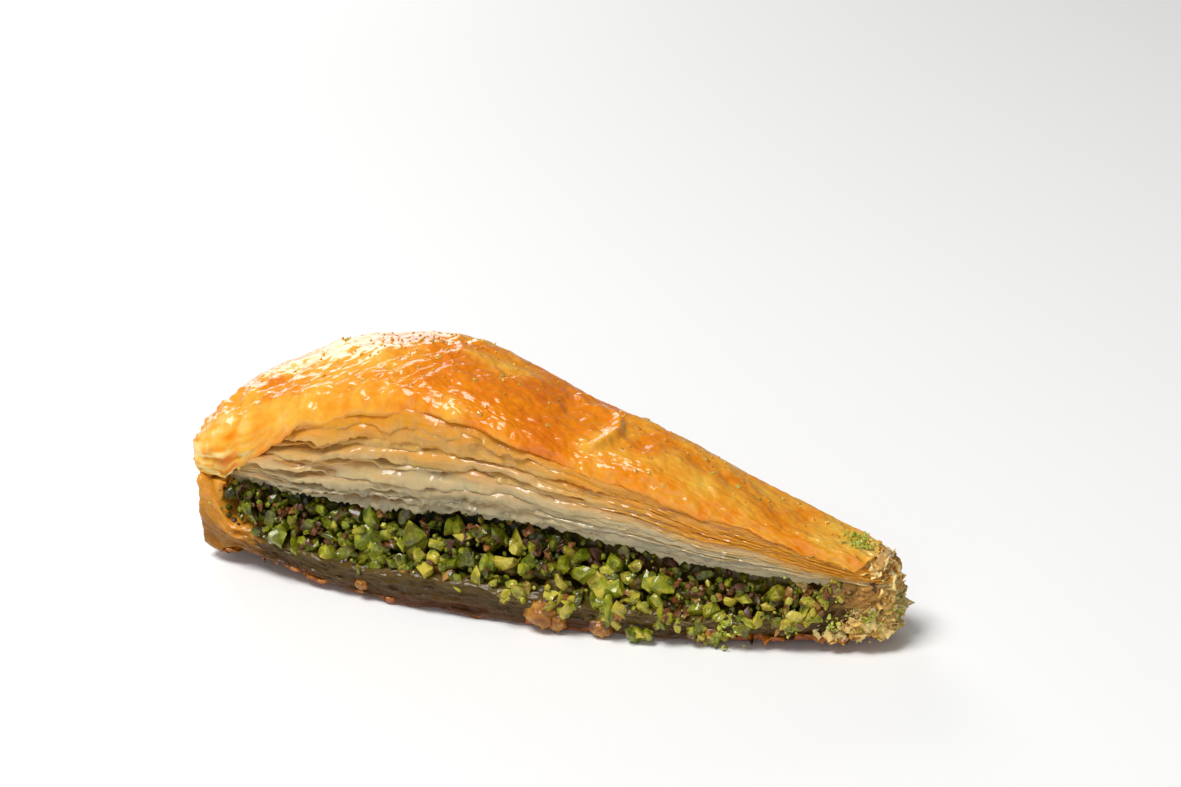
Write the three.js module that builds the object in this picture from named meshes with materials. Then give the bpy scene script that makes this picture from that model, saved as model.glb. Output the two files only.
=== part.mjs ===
// A long wedge slice of pistachio baklava, as cut from a round tray: it has one closed end at the tray's rim,
// two long cut sides and a narrow tip. Millimetres, +X from the rim end to the tip, +Y to the back cut side,
// +Z up. Three solids lie on each other: the stack of thin sheets at the bottom, the bed of chopped nuts, and
// the puffed stack of thin sheets on top. The bottom sheets turn up at both ends and close the nuts in.
import * as THREE from "three";

// Plan of the slice, taken at the edge of the browned top.
const LENGTH = 130;
const RIM_HALF_WIDTH = 18.5;
const TIP_HALF_WIDTH = 5;
const RIM_CORNER = 4.5; // how far the rim end's corners are rounded
const TIP_CORNER = 4;
const BEND = 4; // how far the soft slice is bent towards the front at mid length

// How far each level stands out past the browned top's edge: at the ends, and at mid length on either side.
const TOP_SHEETS_OUT = { ends: 0.6, front: 2.2, back: 1.6 };
const NUTS_HEAD_OUT = { ends: -1.6, front: 0.2, back: 0 };
const NUTS_FOOT_OUT = { ends: 0.4, front: 5.8, back: 3 };
const BASE_OUT = { ends: 1.2, front: 7.6, back: 4 };
const FOOT_TUCK = 1.6; // the base's lower edge lies this much further in than its upper edge

// Heights above the underside, each as [share of the length, height] from the rim end to the tip.
const CREST = [
  [0, 20.5],
  [0.1, 30],
  [0.2, 38],
  [0.32, 42.2],
  [0.44, 39.2],
  [0.56, 34],
  [0.7, 29.8],
  [0.85, 20.6],
  [1, 13],
];
const SHOULDER = [[0, 17], [0.2, 29.6], [0.36, 36], [0.56, 30], [0.8, 21.4], [1, 11.6]];
const CEILING = [[0, 10.5], [0.18, 15.6], [0.46, 19.4], [0.8, 14], [1, 9.4]]; // underside of the top sheets
const FLOOR = [[0, 4.8], [0.22, 5.7], [0.47, 7.2], [0.75, 4.9], [1, 4.1]]; // upper face of the bottom sheets

// The bottom sheets rise to the top sheets over these shares of the length, and shut the nuts in.
const RIM_LIP = [0.03, 0.09];
const TIP_LIP = [0.89, 0.955];
const NUTS_LEAST = 1.2; // the nuts' bed ends where it is this thin

// The soft slice sags between its ends, so its underside is flat only along the middle.
const RIM_LIFT = 6;
const TIP_LIFT = 2.6;
const FLAT_FROM = 0.34;
const FLAT_TO = 0.7;
const LIFT_POWER = 1.7;

// The bottom crust has a thick rim: it hangs down by RIM_BEAD up to the first of these shares of the length,
// and is gone at the second.
const RIM_BEAD = 3;
const BEAD_FADE = [0.045, 0.1];

const GAP = 0.3; // kept between two pieces that lie on each other
const CREST_SHIFT = 0.14; // how far the crest lies behind the middle, as a share of the half width
const CROWN_POWER = 2.3; // 2 is an ellipse, higher is squarer
const BLISTER = 0.4; // swell of the blisters on the browned top
const SHEET_GROOVES = 3; // grooves between the bundles of sheets, on each cut side of the top
const GROOVE_DEPTH = 0.5;
const GROOVE_FULL_AT = 12; // thickness of the stack from which the grooves have their full depth
const NUT_SWELL = 0.55; // swell of the nuts out of the face of their bed
const NUT_PITCH = 7.6; // length of one swell and one hollow along the slice
const NUT_ROWS = 5;

const { smoothstep, lerp, clamp } = THREE.MathUtils;

// A smooth curve through knots [u, value], with the slope at each knot taken from its neighbours.
function profile(knots) {
  const slope = knots.map((_, i) => {
    const [u0, v0] = knots[Math.max(i - 1, 0)];
    const [u1, v1] = knots[Math.min(i + 1, knots.length - 1)];
    return (v1 - v0) / (u1 - u0);
  });
  return (u) => {
    let i = 0;
    while (i < knots.length - 2 && u > knots[i + 1][0]) i += 1;
    const [u0, v0] = knots[i];
    const [u1, v1] = knots[i + 1];
    const span = u1 - u0;
    const t = (u - u0) / span;
    const t2 = t * t;
    const t3 = t2 * t;
    return (
      v0 * (2 * t3 - 3 * t2 + 1) +
      slope[i] * span * (t3 - 2 * t2 + t) +
      v1 * (3 * t2 - 2 * t3) +
      slope[i + 1] * span * (t3 - t2)
    );
  };
}

const crest = profile(CREST);
const shoulder = profile(SHOULDER);
const ceiling = profile(CEILING);
const bed = profile(FLOOR);

// Top of the bottom sheets: the nuts' bed, and at both ends a lip that meets the top sheets.
function floor(u) {
  const open = smoothstep(u, ...RIM_LIP) * (1 - smoothstep(u, ...TIP_LIP));
  return lerp(ceiling(u) - GAP, bed(u), open);
}

// Height of the underside, which is 0 along the flat middle.
function lift(u) {
  const rim = Math.max(0, 1 - u / FLAT_FROM);
  const tip = Math.max(0, (u - FLAT_TO) / (1 - FLAT_TO));
  return RIM_LIFT * rim ** LIFT_POWER + TIP_LIFT * tip ** LIFT_POWER;
}

// Height of the bottom crust's lower face, from the underside's own curve.
function underside(u) {
  return -RIM_BEAD * (1 - smoothstep(u, ...BEAD_FADE));
}

// Share of the width that is left at distance d from an end whose corners have radius r.
function corner(d, r) {
  return d >= r ? 1 : (1 - (1 - d / r) ** 3) ** (1 / 3);
}

// Distance from the centre line to the level that stands out by `out`, on the front (-1) or the back (1).
function halfWidth(u, out, side) {
  const x = u * LENGTH;
  const straight = lerp(RIM_HALF_WIDTH, TIP_HALF_WIDTH, u);
  const extra = lerp(out.ends, side < 0 ? out.front : out.back, Math.sin(Math.PI * u) ** 0.8);
  return (straight + extra) * corner(x, RIM_CORNER) * corner(LENGTH - x, TIP_CORNER);
}

// Distance across the slice of share v of the half width, from the front edge (-1) to the back edge (1).
function acrossAt(u, out, v) {
  return v * halfWidth(u, out, Math.sign(v));
}

// Unevenness of a level: a few waves along the slice, between -1 and 1, that differ from level to level.
function uneven(u, level) {
  return (
    0.5 * Math.sin(19 * u + 2.1 * level) +
    0.3 * Math.sin(41 * u + 4.7 * level) +
    0.2 * Math.sin(73 * u + 1.3 * level)
  );
}

// Height of the browned top above its shoulder, as a share, from the front edge (-1) to the back edge (1).
function crown(v) {
  const offset = v - CREST_SHIFT;
  const share = clamp(Math.abs(offset) / (offset < 0 ? 1 + CREST_SHIFT : 1 - CREST_SHIFT), 0, 1);
  return (1 - share ** CROWN_POWER) ** (1 / CROWN_POWER);
}

// `count` points [y, z], evenly spaced from `from` to `to`.
function row(count, from, to, at) {
  return Array.from({ length: count }, (_, i) => at(lerp(from, to, i / (count - 1))));
}

// Each section runs once round its solid: underside from front to back, back wall, upper face, front wall.
function bottomSection(u) {
  const low = underside(u);
  const top = floor(u);
  const wall = (side, t) => {
    const tuck = FOOT_TUCK * (1 - t) * corner(u * LENGTH, RIM_CORNER);
    const edge = halfWidth(u, BASE_OUT, side) - tuck + 0.5 * uneven(u, side) * Math.sin(Math.PI * t);
    return [side * edge, lerp(low, top, t)];
  };
  return [
    ...row(4, 0, 1, (t) => wall(1, t)),
    ...row(3, 0.5, -0.5, (v) => [acrossAt(u, BASE_OUT, v), top]),
    ...row(4, 1, 0, (t) => wall(-1, t)),
  ];
}

function nutsSection(u) {
  const low = floor(u) + GAP;
  const high = ceiling(u) - GAP;
  const wall = (side, t) => {
    const foot = halfWidth(u, NUTS_FOOT_OUT, side);
    const head = halfWidth(u, NUTS_HEAD_OUT, side);
    const wave = Math.sin((2 * Math.PI * u * LENGTH) / NUT_PITCH + Math.PI * t * (NUT_ROWS - 1));
    const swell = NUT_SWELL * (wave + uneven(u, 2 * side)) * corner(u * LENGTH, 2 * RIM_CORNER);
    return [side * (lerp(foot, head, t) + swell), lerp(low, high, t)];
  };
  return [
    ...row(3, -0.5, 0.5, (v) => [acrossAt(u, NUTS_FOOT_OUT, v), low]),
    ...row(NUT_ROWS, 0, 1, (t) => wall(1, t)),
    ...row(3, 0.5, -0.5, (v) => [acrossAt(u, NUTS_HEAD_OUT, v), high]),
    ...row(NUT_ROWS, 1, 0, (t) => wall(-1, t)),
  ];
}

function topSection(u) {
  const low = ceiling(u);
  const edge = shoulder(u);
  const rise = crest(u) - edge;
  const skin = { ends: 0, front: 0.6, back: 0.4 };
  const steps = 2 * SHEET_GROOVES;
  const groove = GROOVE_DEPTH * corner(u * LENGTH, RIM_CORNER) * Math.min(1, (edge - low) / GROOVE_FULL_AT);
  const wall = (side, t) => {
    const inGroove = Math.round(t * steps) % 2 === 1;
    const y = lerp(halfWidth(u, TOP_SHEETS_OUT, side), halfWidth(u, skin, side), t ** 1.5);
    return [side * (y - (inGroove ? groove : 0)), lerp(low, edge, t)];
  };
  const blister = (v) => BLISTER * uneven(u, 5 + v) * (1 - v * v);
  return [
    ...row(5, -0.8, 0.8, (v) => [acrossAt(u, TOP_SHEETS_OUT, v), low]),
    ...row(steps, 0, 1 - 1 / steps, (t) => wall(1, t)),
    ...row(15, 1, -1, (v) => [acrossAt(u, skin, v), edge + rise * crown(v) + blister(v)]),
    ...row(steps, 1 - 1 / steps, 0, (t) => wall(-1, t)),
  ];
}

// Shares of the length where sections stand: evenly spaced, and closer together at the rounded corners.
const NEAR_END = [0.15, 0.6, 1.5, 3];
const EVEN_STEPS = 58;
const stations = [
  ...NEAR_END.map((d) => d / LENGTH),
  ...Array.from({ length: EVEN_STEPS + 1 }, (_, i) => lerp(0.038, 0.966, i / EVEN_STEPS)),
  ...NEAR_END.map((d) => 1 - d / LENGTH).reverse(),
];

// A closed surface over sections of equal length, with a flat cap at each end.
function loft(at, section) {
  const place = (u, [y, z]) => new THREE.Vector3(u * LENGTH, y - BEND * 4 * u * (1 - u), z + lift(u));
  const rings = at.map((u) => section(u).map((point) => place(u, point)));
  const n = rings[0].length;
  const index = [];
  for (let i = 0; i < rings.length - 1; i += 1) {
    for (let j = 0; j < n; j += 1) {
      const a = i * n + j;
      const b = i * n + ((j + 1) % n);
      index.push(a, b, a + n, b, b + n, a + n);
    }
  }
  const capOf = (ring) => THREE.ShapeUtils.triangulateShape(ring.map((p) => new THREE.Vector2(p.y, p.z)), []);
  const last = (rings.length - 1) * n;
  for (const [a, b, c] of capOf(rings[0])) index.push(a, c, b);
  for (const [a, b, c] of capOf(rings.at(-1))) index.push(last + a, last + b, last + c);
  const geometry = new THREE.BufferGeometry().setFromPoints(rings.flat());
  geometry.setIndex(index);
  geometry.computeVertexNormals();
  return geometry;
}

function piece(name, geometry, color, roughness) {
  const mesh = new THREE.Mesh(geometry, new THREE.MeshStandardMaterial({ color, roughness, metalness: 0 }));
  mesh.name = name;
  return mesh;
}

const nutStations = stations.filter((u) => ceiling(u) - floor(u) - 2 * GAP > NUTS_LEAST);
const slice = new THREE.Group();
slice.add(
  piece("bottom_sheets", loft(stations, bottomSection), 0x9a7434, 0.45),
  piece("pistachio_filling", loft(nutStations, nutsSection), 0x6d8428, 0.4),
  piece("top_sheets", loft(stations, topSection), 0xe29a35, 0.3),
);

// The origin is at the middle of the slice's box, on the surface that it rests on.
const box = new THREE.Box3().setFromObject(slice);
const middle = box.getCenter(new THREE.Vector3());
slice.position.set(-middle.x, -middle.y, -box.min.z);

const baklava = new THREE.Group();
baklava.add(slice);
export default baklava;
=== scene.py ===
"""A long wedge slice of pistachio baklava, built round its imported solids.

The slice's own sizes are in millimetres. Every shape is worked out as whole numpy arrays, in the frame's
axes: +X from the rim end to the tip, +Y to the back cut side, +Z up. A piece becomes metres when its mesh is
made.
"""

import math

import bpy
import numpy as np
from bpy.props import FloatProperty, FloatVectorProperty, IntProperty, PointerProperty
from mathutils import Matrix, Vector


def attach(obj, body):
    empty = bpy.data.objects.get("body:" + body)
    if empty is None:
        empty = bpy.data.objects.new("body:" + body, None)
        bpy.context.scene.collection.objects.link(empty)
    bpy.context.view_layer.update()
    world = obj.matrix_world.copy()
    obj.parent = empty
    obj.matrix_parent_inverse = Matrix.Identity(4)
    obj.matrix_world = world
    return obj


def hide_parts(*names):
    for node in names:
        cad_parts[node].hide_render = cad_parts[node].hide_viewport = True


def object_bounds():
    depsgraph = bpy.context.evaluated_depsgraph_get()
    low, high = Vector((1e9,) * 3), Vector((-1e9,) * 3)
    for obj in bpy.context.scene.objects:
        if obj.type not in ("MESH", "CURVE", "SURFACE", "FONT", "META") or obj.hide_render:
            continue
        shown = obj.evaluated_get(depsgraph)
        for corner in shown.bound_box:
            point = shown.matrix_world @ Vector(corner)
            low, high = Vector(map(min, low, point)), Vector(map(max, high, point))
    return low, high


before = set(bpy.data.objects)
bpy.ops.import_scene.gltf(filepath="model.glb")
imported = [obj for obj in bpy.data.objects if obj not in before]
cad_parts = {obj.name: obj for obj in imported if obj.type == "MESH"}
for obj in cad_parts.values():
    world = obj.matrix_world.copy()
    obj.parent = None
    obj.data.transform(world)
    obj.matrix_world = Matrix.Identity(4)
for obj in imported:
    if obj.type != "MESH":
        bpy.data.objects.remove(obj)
CAD_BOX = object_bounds()

bl_info = {
    "name": "Baklava Slice",
    "version": (1, 0, 0),
    "blender": (4, 5, 0),
    "location": "View3D > Sidebar > Baklava",
    "description": "Builds a long wedge slice of pistachio baklava, sheet by sheet and nut by nut",
    "category": "Object",
}

METRES = 0.001

# ---- Sizes of the slice, in millimetres ----

LENGTH = 130.0
RIM_END = -LENGTH / 2
RIM_HALF_WIDTH = 18.5
TIP_HALF_WIDTH = 5.0
RIM_CORNER = 4.5
TIP_CORNER = 4.0
BEND = 4.0

# How far each level stands out past the edge of the skin: at the ends, at mid length in front, and at mid
# length at the back.
SKIN_OUT = (0.0, 0.6, 0.4)
SHEETS_OUT = (0.6, 2.2, 1.6)
NUTS_HEAD_OUT = (-1.6, 0.2, 0.0)
NUTS_FOOT_OUT = (0.4, 5.8, 3.0)
BASE_OUT = (1.2, 7.6, 4.0)

# How far the base's foot is drawn in under its widest level.
FOOT_TUCK = 1.6

# The underside: how high its ends stand, the shares between which it is flat, and the rim's bead below it.
RIM_LIFT, TIP_LIFT = 6.0, 2.6
FLAT_FROM, FLAT_TO = 0.34, 0.7
LIFT_POWER = 1.7
RIM_BEAD = 3.0
BEAD_FADE = (0.045, 0.1)

# The shares of the length over which the bed's floor comes down from each end's lip.
RIM_LIP = (0.03, 0.09)
TIP_LIP = (0.89, 0.955)

# The top: how far its crest lies to the back, how square its arch is, and how far it is set to the tip.
CREST_SHIFT = 0.14
CROWN_POWER = 2.3
SKIN_SHIFT = 1.2


def curve_through(knots):
    """A smooth curve through (share, value) knots, in cubic pieces.

    A knot's slope is that of the line between its neighbours."""
    at, value = np.array(knots, float).T
    after = np.minimum(np.arange(len(at)) + 1, len(at) - 1)
    before = np.maximum(np.arange(len(at)) - 1, 0)
    slope = (value[after] - value[before]) / (at[after] - at[before])

    def curve(u):
        i = np.clip(np.searchsorted(at, u, side="right") - 1, 0, len(at) - 2)
        span = at[i + 1] - at[i]
        t = (u - at[i]) / span
        start = value[i] * (2 * t**3 - 3 * t**2 + 1) + slope[i] * span * (t**3 - 2 * t**2 + t)
        end = value[i + 1] * (3 * t**2 - 2 * t**3) + slope[i + 1] * span * (t**3 - t**2)
        return start + end

    return curve


crest = curve_through(
    [(0, 20.5), (0.1, 30), (0.2, 38), (0.32, 42.2), (0.44, 39.2), (0.56, 34)]
    + [(0.7, 29.8), (0.85, 20.6), (1, 13)]
)
shoulder = curve_through([(0, 17), (0.2, 29.6), (0.36, 36), (0.56, 30), (0.8, 21.4), (1, 11.6)])
ceiling = curve_through([(0, 10.5), (0.18, 15.6), (0.46, 19.4), (0.8, 14), (1, 9.4)])
bed = curve_through([(0, 4.8), (0.22, 5.7), (0.47, 7.2), (0.75, 4.9), (1, 4.1)])


def mix(a, b, t):
    """The value t of the way from a to b."""
    return a + (b - a) * t


def ease(x, start, end):
    """0 before start, 1 after end, and a smooth S between them."""
    t = np.clip((x - start) / (end - start), 0, 1)
    return t * t * (3 - 2 * t)


def hump(x, centre, width):
    """A smooth bell that is 1 at centre and falls off over width."""
    return np.exp(-(((x - centre) / width) ** 2))


def lift(u):
    """Height of the underside: 0 along the flat middle, rising to both ends by a power curve."""
    rim = np.maximum(0, 1 - u / FLAT_FROM)
    tip = np.maximum(0, (u - FLAT_TO) / (1 - FLAT_TO))
    return RIM_LIFT * rim**LIFT_POWER + TIP_LIFT * tip**LIFT_POWER


def bead(u):
    """How far the crust's thick rim hangs below the underside's own curve."""
    return RIM_BEAD * (1 - ease(u, *BEAD_FADE))


def floor_of_bed(u):
    """Height of the nuts' bed above the underside, with a lip at both ends that rises to the top sheets."""
    open_share = ease(u, *RIM_LIP) * (1 - ease(u, *TIP_LIP))
    return mix(ceiling(u), bed(u), open_share)


def crown(b):
    """Height of the top above its shoulder, as a share: a squarish arch from edge (-1) to edge (1)."""
    offset = b - CREST_SHIFT
    share = np.abs(offset) / np.where(offset < 0, 1 + CREST_SHIFT, 1 - CREST_SHIFT)
    return (1 - np.clip(share, 0, 1) ** CROWN_POWER) ** (1 / CROWN_POWER)


def centre_line(u):
    """Distance of the slice's middle from the X axis: it bends to the front by a parabola."""
    return -BEND * 4 * u * (1 - u) + CENTRE_SHIFT


def stands_out(u, out, side):
    """How far a level stands out past the skin's edge at share u; side goes from -1, front, to 1, back."""
    ends, front, back = out
    middle = mix(front, back, (side + 1) / 2)
    return mix(ends, middle, np.sin(np.pi * np.clip(u, 0, 1)) ** 0.8)


def half_width(u, out, side):
    """Distance from the centre line to a level, with square ends."""
    return mix(RIM_HALF_WIDTH, TIP_HALF_WIDTH, u) + stands_out(u, out, side)


def rounded(u):
    """Share of the width that is left near the ends, whose corners are rounded by a cubic superellipse."""
    x = np.clip(u, 0, 1) * LENGTH
    rim = 1 - (1 - np.clip(x / RIM_CORNER, 0, 1)) ** 3
    tip = 1 - (1 - np.clip((LENGTH - x) / TIP_CORNER, 0, 1)) ** 3
    return (rim * tip) ** (1 / 3)


def outline(columns, crowding, setback):
    """Shares across for some columns, crowded to the edges by a sine, and where each one starts and ends.

    The ends follow the slice's rounded corners; the tip's end is set back."""
    b = np.sin(np.linspace(-np.pi / 2, np.pi / 2, columns) * crowding) / math.sin(np.pi / 2 * crowding)
    bulge = 1 - (1 - np.abs(b) ** 3) ** (1 / 3)
    return b, RIM_CORNER * bulge, LENGTH - TIP_CORNER * bulge - setback


def frame_shift():
    """Where the centre line starts across the frame: the base's front edge bulges most and meets the box."""
    u = np.linspace(0, 1, 400)
    reach = half_width(u, BASE_OUT, -1) * rounded(u) + BEND * 4 * u * (1 - u)
    return CAD_BOX[0].y / METRES + reach.max()


CENTRE_SHIFT = frame_shift()

# ---- Noise ----


# The hash: a factor for the seed and for each axis, and the shift and factor of each round that scrambles it.
SEED_FACTOR = 83492791
AXIS_FACTORS = (73856093, 19349663, 50331653)
ROUNDS = ((13, 1274126177), (16, 99338872), (15, 668265263))
WORD_BITS = 0xFFFFFFFF
SHARE_BITS = 0xFFFFFF


def lattice(cell, seed):
    """A share from 0 to 1 for each whole-number cell: an integer hash of the cell and the seed."""
    word = np.full(cell.shape[:-1], seed * SEED_FACTOR, np.int64)
    for axis, factor in zip(range(cell.shape[-1]), AXIS_FACTORS):
        word = word ^ (cell[..., axis] * factor)
    for shift, factor in ROUNDS:
        word = ((word & WORD_BITS) ^ ((word & WORD_BITS) >> shift)) * factor
    return ((word >> 7) & SHARE_BITS) / SHARE_BITS


def noise(points, seed):
    """Smooth noise from about -1 to 1, blended between whole-number places by a fade curve along each axis.

    Along a line each place has a random value; over two or three coordinates it has a random slope."""
    cell = np.floor(points).astype(np.int64)
    share = points - cell
    fade = share**3 * (share * (share * 6 - 15) + 10)
    axes = points.shape[-1]
    total = 0
    for step in np.ndindex(*(2,) * axes):
        corner = np.array(step)
        weight = np.prod(np.where(corner == 1, fade, 1 - fade), axis=-1)
        slopes = [2 * lattice(cell + corner, seed + 977 * axis) - 1 for axis in range(axes)]
        if axes == 1:
            total = total + weight * slopes[0]
        else:
            total = total + 2.1 * weight * sum(slopes[i] * (share[..., i] - step[i]) for i in range(axes))
    return total


def turned(points, angle):
    """Points with their first two coordinates turned by an angle; points on a line stay as they are."""
    if points.shape[-1] < 2:
        return points
    x, y = points[..., 0], points[..., 1]
    first = x * math.cos(angle) - y * math.sin(angle)
    second = x * math.sin(angle) + y * math.cos(angle)
    return np.concatenate([np.stack([first, second], -1), points[..., 2:]], -1)


def layered_noise(points, seed, octaves=3):
    """Noise at one scale, plus noise at half the size and height and so on, each turned to its own angle."""
    layers = range(octaves)
    return sum(noise(turned(points * 2**i, 0.5 + 1.1 * i) + 17.3 * i, seed + 31 * i) / 2**i for i in layers)


def along(x, scale, seed, octaves=2):
    """Noise along one line, with waves about `scale` long."""
    return layered_noise(np.asarray(x)[..., None] / scale, seed, octaves)


def over(x, y, scale_x, scale_y, seed, octaves=2):
    """Noise over two coordinates, with its own wave length along each."""
    x, y = np.broadcast_arrays(x / scale_x, y / scale_y)
    return layered_noise(np.stack([x, y], -1), seed, octaves)


def bubbles(x, y, size, seed, share):
    """Round swellings from 0 to 1 in some cells of a jittered grid, each a dome with its own radius."""
    points = np.stack(np.broadcast_arrays(x / size, y / size), -1)
    cell = np.floor(points).astype(np.int64)
    height = np.zeros(points.shape[:-1])
    for step in np.ndindex(3, 3):
        near = cell + np.array(step) - 1
        place = near + np.stack([lattice(near, seed), lattice(near, seed + 1)], -1)
        radius = 0.35 + 0.45 * lattice(near, seed + 2)
        distance = np.linalg.norm(points - place, axis=-1) / radius
        dome = np.sqrt(np.clip(1 - distance**2, 0, 1)) * radius
        height = np.maximum(height, np.where(lattice(near, seed + 3) < share, dome, 0))
    return height


# ---- Meshes ----


def loft(rings):
    """Corner numbers of a closed surface over rings of equal length, with a fan of triangles over each end.

    The two fan centres come after the rings' own points: see with_fans."""
    count, size = rings.shape[:2]
    i = np.arange(count - 1)[:, None] * size
    j = np.arange(size)[None]
    k = (j + 1) % size
    quads = np.stack([i + j, i + k, i + size + k, i + size + j], -1).reshape(-1, 4)
    j, k = j[0], k[0]
    last = (count - 1) * size
    centre = count * size
    start = np.stack([np.full(size, centre), k, j], -1)
    end = np.stack([np.full(size, centre + 1), last + j, last + k], -1)
    return quads, np.concatenate([start, end])


def with_fans(rings):
    """The rings' points in one list, followed by the middle of the first and of the last ring."""
    return np.concatenate([rings.reshape(-1, 3), rings[:1].mean(1), rings[-1:].mean(1)])


def fan_values(values):
    """Values of the rings' points, followed by those of the two fan centres."""
    return np.concatenate([values.reshape(-1), values[:1].mean(1), values[-1:].mean(1)])


class Shapes:
    """Points, faces and per-point values of several surfaces that go into one mesh."""

    def __init__(self):
        self.points, self.quads, self.triangles, self.values = [], [], [], {}
        self.count = 0

    def add(self, points, quads=None, triangles=None, **values):
        points = np.asarray(points, float).reshape(-1, 3)
        if quads is not None:
            self.quads.append(np.asarray(quads) + self.count)
        if triangles is not None:
            self.triangles.append(np.asarray(triangles) + self.count)
        for name, value in values.items():
            self.values.setdefault(name, []).append(np.broadcast_to(value, len(points)))
        self.points.append(points)
        self.count += len(points)
        return self

    def add_loft(self, rings, **values):
        """Adds a closed surface over rings; each value is one number, or has the rings' shape."""
        quads, triangles = loft(rings)
        spread = {n: fan_values(np.broadcast_to(v, rings.shape[:2])) for n, v in values.items()}
        return self.add(with_fans(rings), quads, triangles, **spread)

    def add_copies(self, shape, triangles, centres, rotations, sizes, **values):
        """Adds a copy of a shape at each centre, turned and sized; a value has a row for each copy."""
        placed = np.einsum("nij,npj->npi", rotations, shape[None] * sizes[:, None, :]) + centres[:, None]
        step = np.arange(len(centres))[:, None, None] * len(shape)
        spread = {n: np.broadcast_to(v, placed.shape[:2]).ravel() for n, v in values.items()}
        return self.add(placed, None, (triangles[None] + step).reshape(-1, 3), **spread)

    def finish(self, name, material, slot, sharp=None):
        """Makes the mesh in metres, flat where it meets the floor, and puts it on the slice's body."""
        corners = [f.reshape(-1) for f in self.quads + self.triangles]
        sizes = np.concatenate([np.full(len(f), f.shape[1]) for f in self.quads + self.triangles])
        mesh = bpy.data.meshes.new(name)
        mesh.vertices.add(self.count)
        points = np.concatenate(self.points)
        points[:, 2] = np.maximum(points[:, 2], 0)
        mesh.vertices.foreach_set("co", (points * METRES).ravel())
        mesh.loops.add(int(sizes.sum()))
        mesh.loops.foreach_set("vertex_index", np.concatenate(corners).astype(np.int32))
        mesh.polygons.add(len(sizes))
        mesh.polygons.foreach_set("loop_start", (np.cumsum(sizes) - sizes).astype(np.int32))
        mesh.update(calc_edges=True)
        mesh.polygons.foreach_set("use_smooth", np.ones(len(sizes), bool))
        for value_name, parts in self.values.items():
            attribute = mesh.attributes.new(value_name, "FLOAT", "POINT")
            attribute.data.foreach_set("value", np.concatenate(parts).astype(np.float32))
        if sharp is not None:
            mesh.set_sharp_from_angle(angle=sharp)
        mesh.materials.append(material)
        piece = bpy.data.objects.new(name, mesh)
        bpy.context.scene.collection.objects.link(piece)
        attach(piece, "root")
        return piece


def shell(outer, inner, columns):
    """Rows of a thin closed shell: along the outer surface, and back along some columns of the inner one."""
    chosen = np.linspace(outer.shape[1] - 1, 0, columns).round().astype(int)
    return np.concatenate([outer, inner[:, chosen]], axis=1)


def grid_normals(grid):
    """Unit normals of a grid of points: its slope along the first axis crossed with that along the second."""
    down = np.gradient(grid, axis=0)
    right = np.gradient(grid, axis=1)
    normal = np.cross(down, right)
    return normal / np.maximum(np.linalg.norm(normal, axis=-1, keepdims=True), 1e-9)


def turns(rng, count):
    """Random rotation matrices, from random unit quaternions."""
    q = rng.normal(size=(count, 4))
    w, x, y, z = (q / np.linalg.norm(q, axis=1, keepdims=True)).T
    rows = [
        [1 - 2 * (y * y + z * z), 2 * (x * y - w * z), 2 * (x * z + w * y)],
        [2 * (x * y + w * z), 1 - 2 * (x * x + z * z), 2 * (y * z - w * x)],
        [2 * (x * z - w * y), 2 * (y * z + w * x), 1 - 2 * (x * x + y * y)],
    ]
    return np.array(rows).transpose(2, 0, 1)


def ball(splits):
    """Points and triangles of a unit ball: an icosahedron, its triangles split in four `splits` times."""
    g = (1 + 5**0.5) / 2
    points = np.array(
        [(-1, g, 0), (1, g, 0), (-1, -g, 0), (1, -g, 0), (0, -1, g), (0, 1, g)]
        + [(0, -1, -g), (0, 1, -g), (g, 0, -1), (g, 0, 1), (-g, 0, -1), (-g, 0, 1)],
        float,
    )
    triangles = np.array(
        [(0, 11, 5), (0, 5, 1), (0, 1, 7), (0, 7, 10), (0, 10, 11), (1, 5, 9), (5, 11, 4), (11, 10, 2)]
        + [(10, 7, 6), (7, 1, 8), (3, 9, 4), (3, 4, 2), (3, 2, 6), (3, 6, 8), (3, 8, 9), (4, 9, 5)]
        + [(2, 4, 11), (6, 2, 10), (8, 6, 7), (9, 8, 1)]
    )
    points /= np.linalg.norm(points, axis=1, keepdims=True)
    for _ in range(splits):
        pairs = [triangles[:, pair] for pair in ([0, 1], [1, 2], [2, 0])]
        edges = np.sort(np.concatenate(pairs), axis=1)
        unique, which = np.unique(edges, axis=0, return_inverse=True)
        middle = points[unique].mean(1)
        middle /= np.linalg.norm(middle, axis=1, keepdims=True)
        a, b, c = triangles.T
        ab, bc, ca = which.reshape(3, -1) + len(points)
        points = np.concatenate([points, middle])
        triangles = np.concatenate(
            [np.stack(t, -1) for t in ((a, ab, ca), (b, bc, ab), (c, ca, bc), (ab, bc, ca))]
        )
    return points, triangles


# ---- The cut edge, as a path ----


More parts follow.
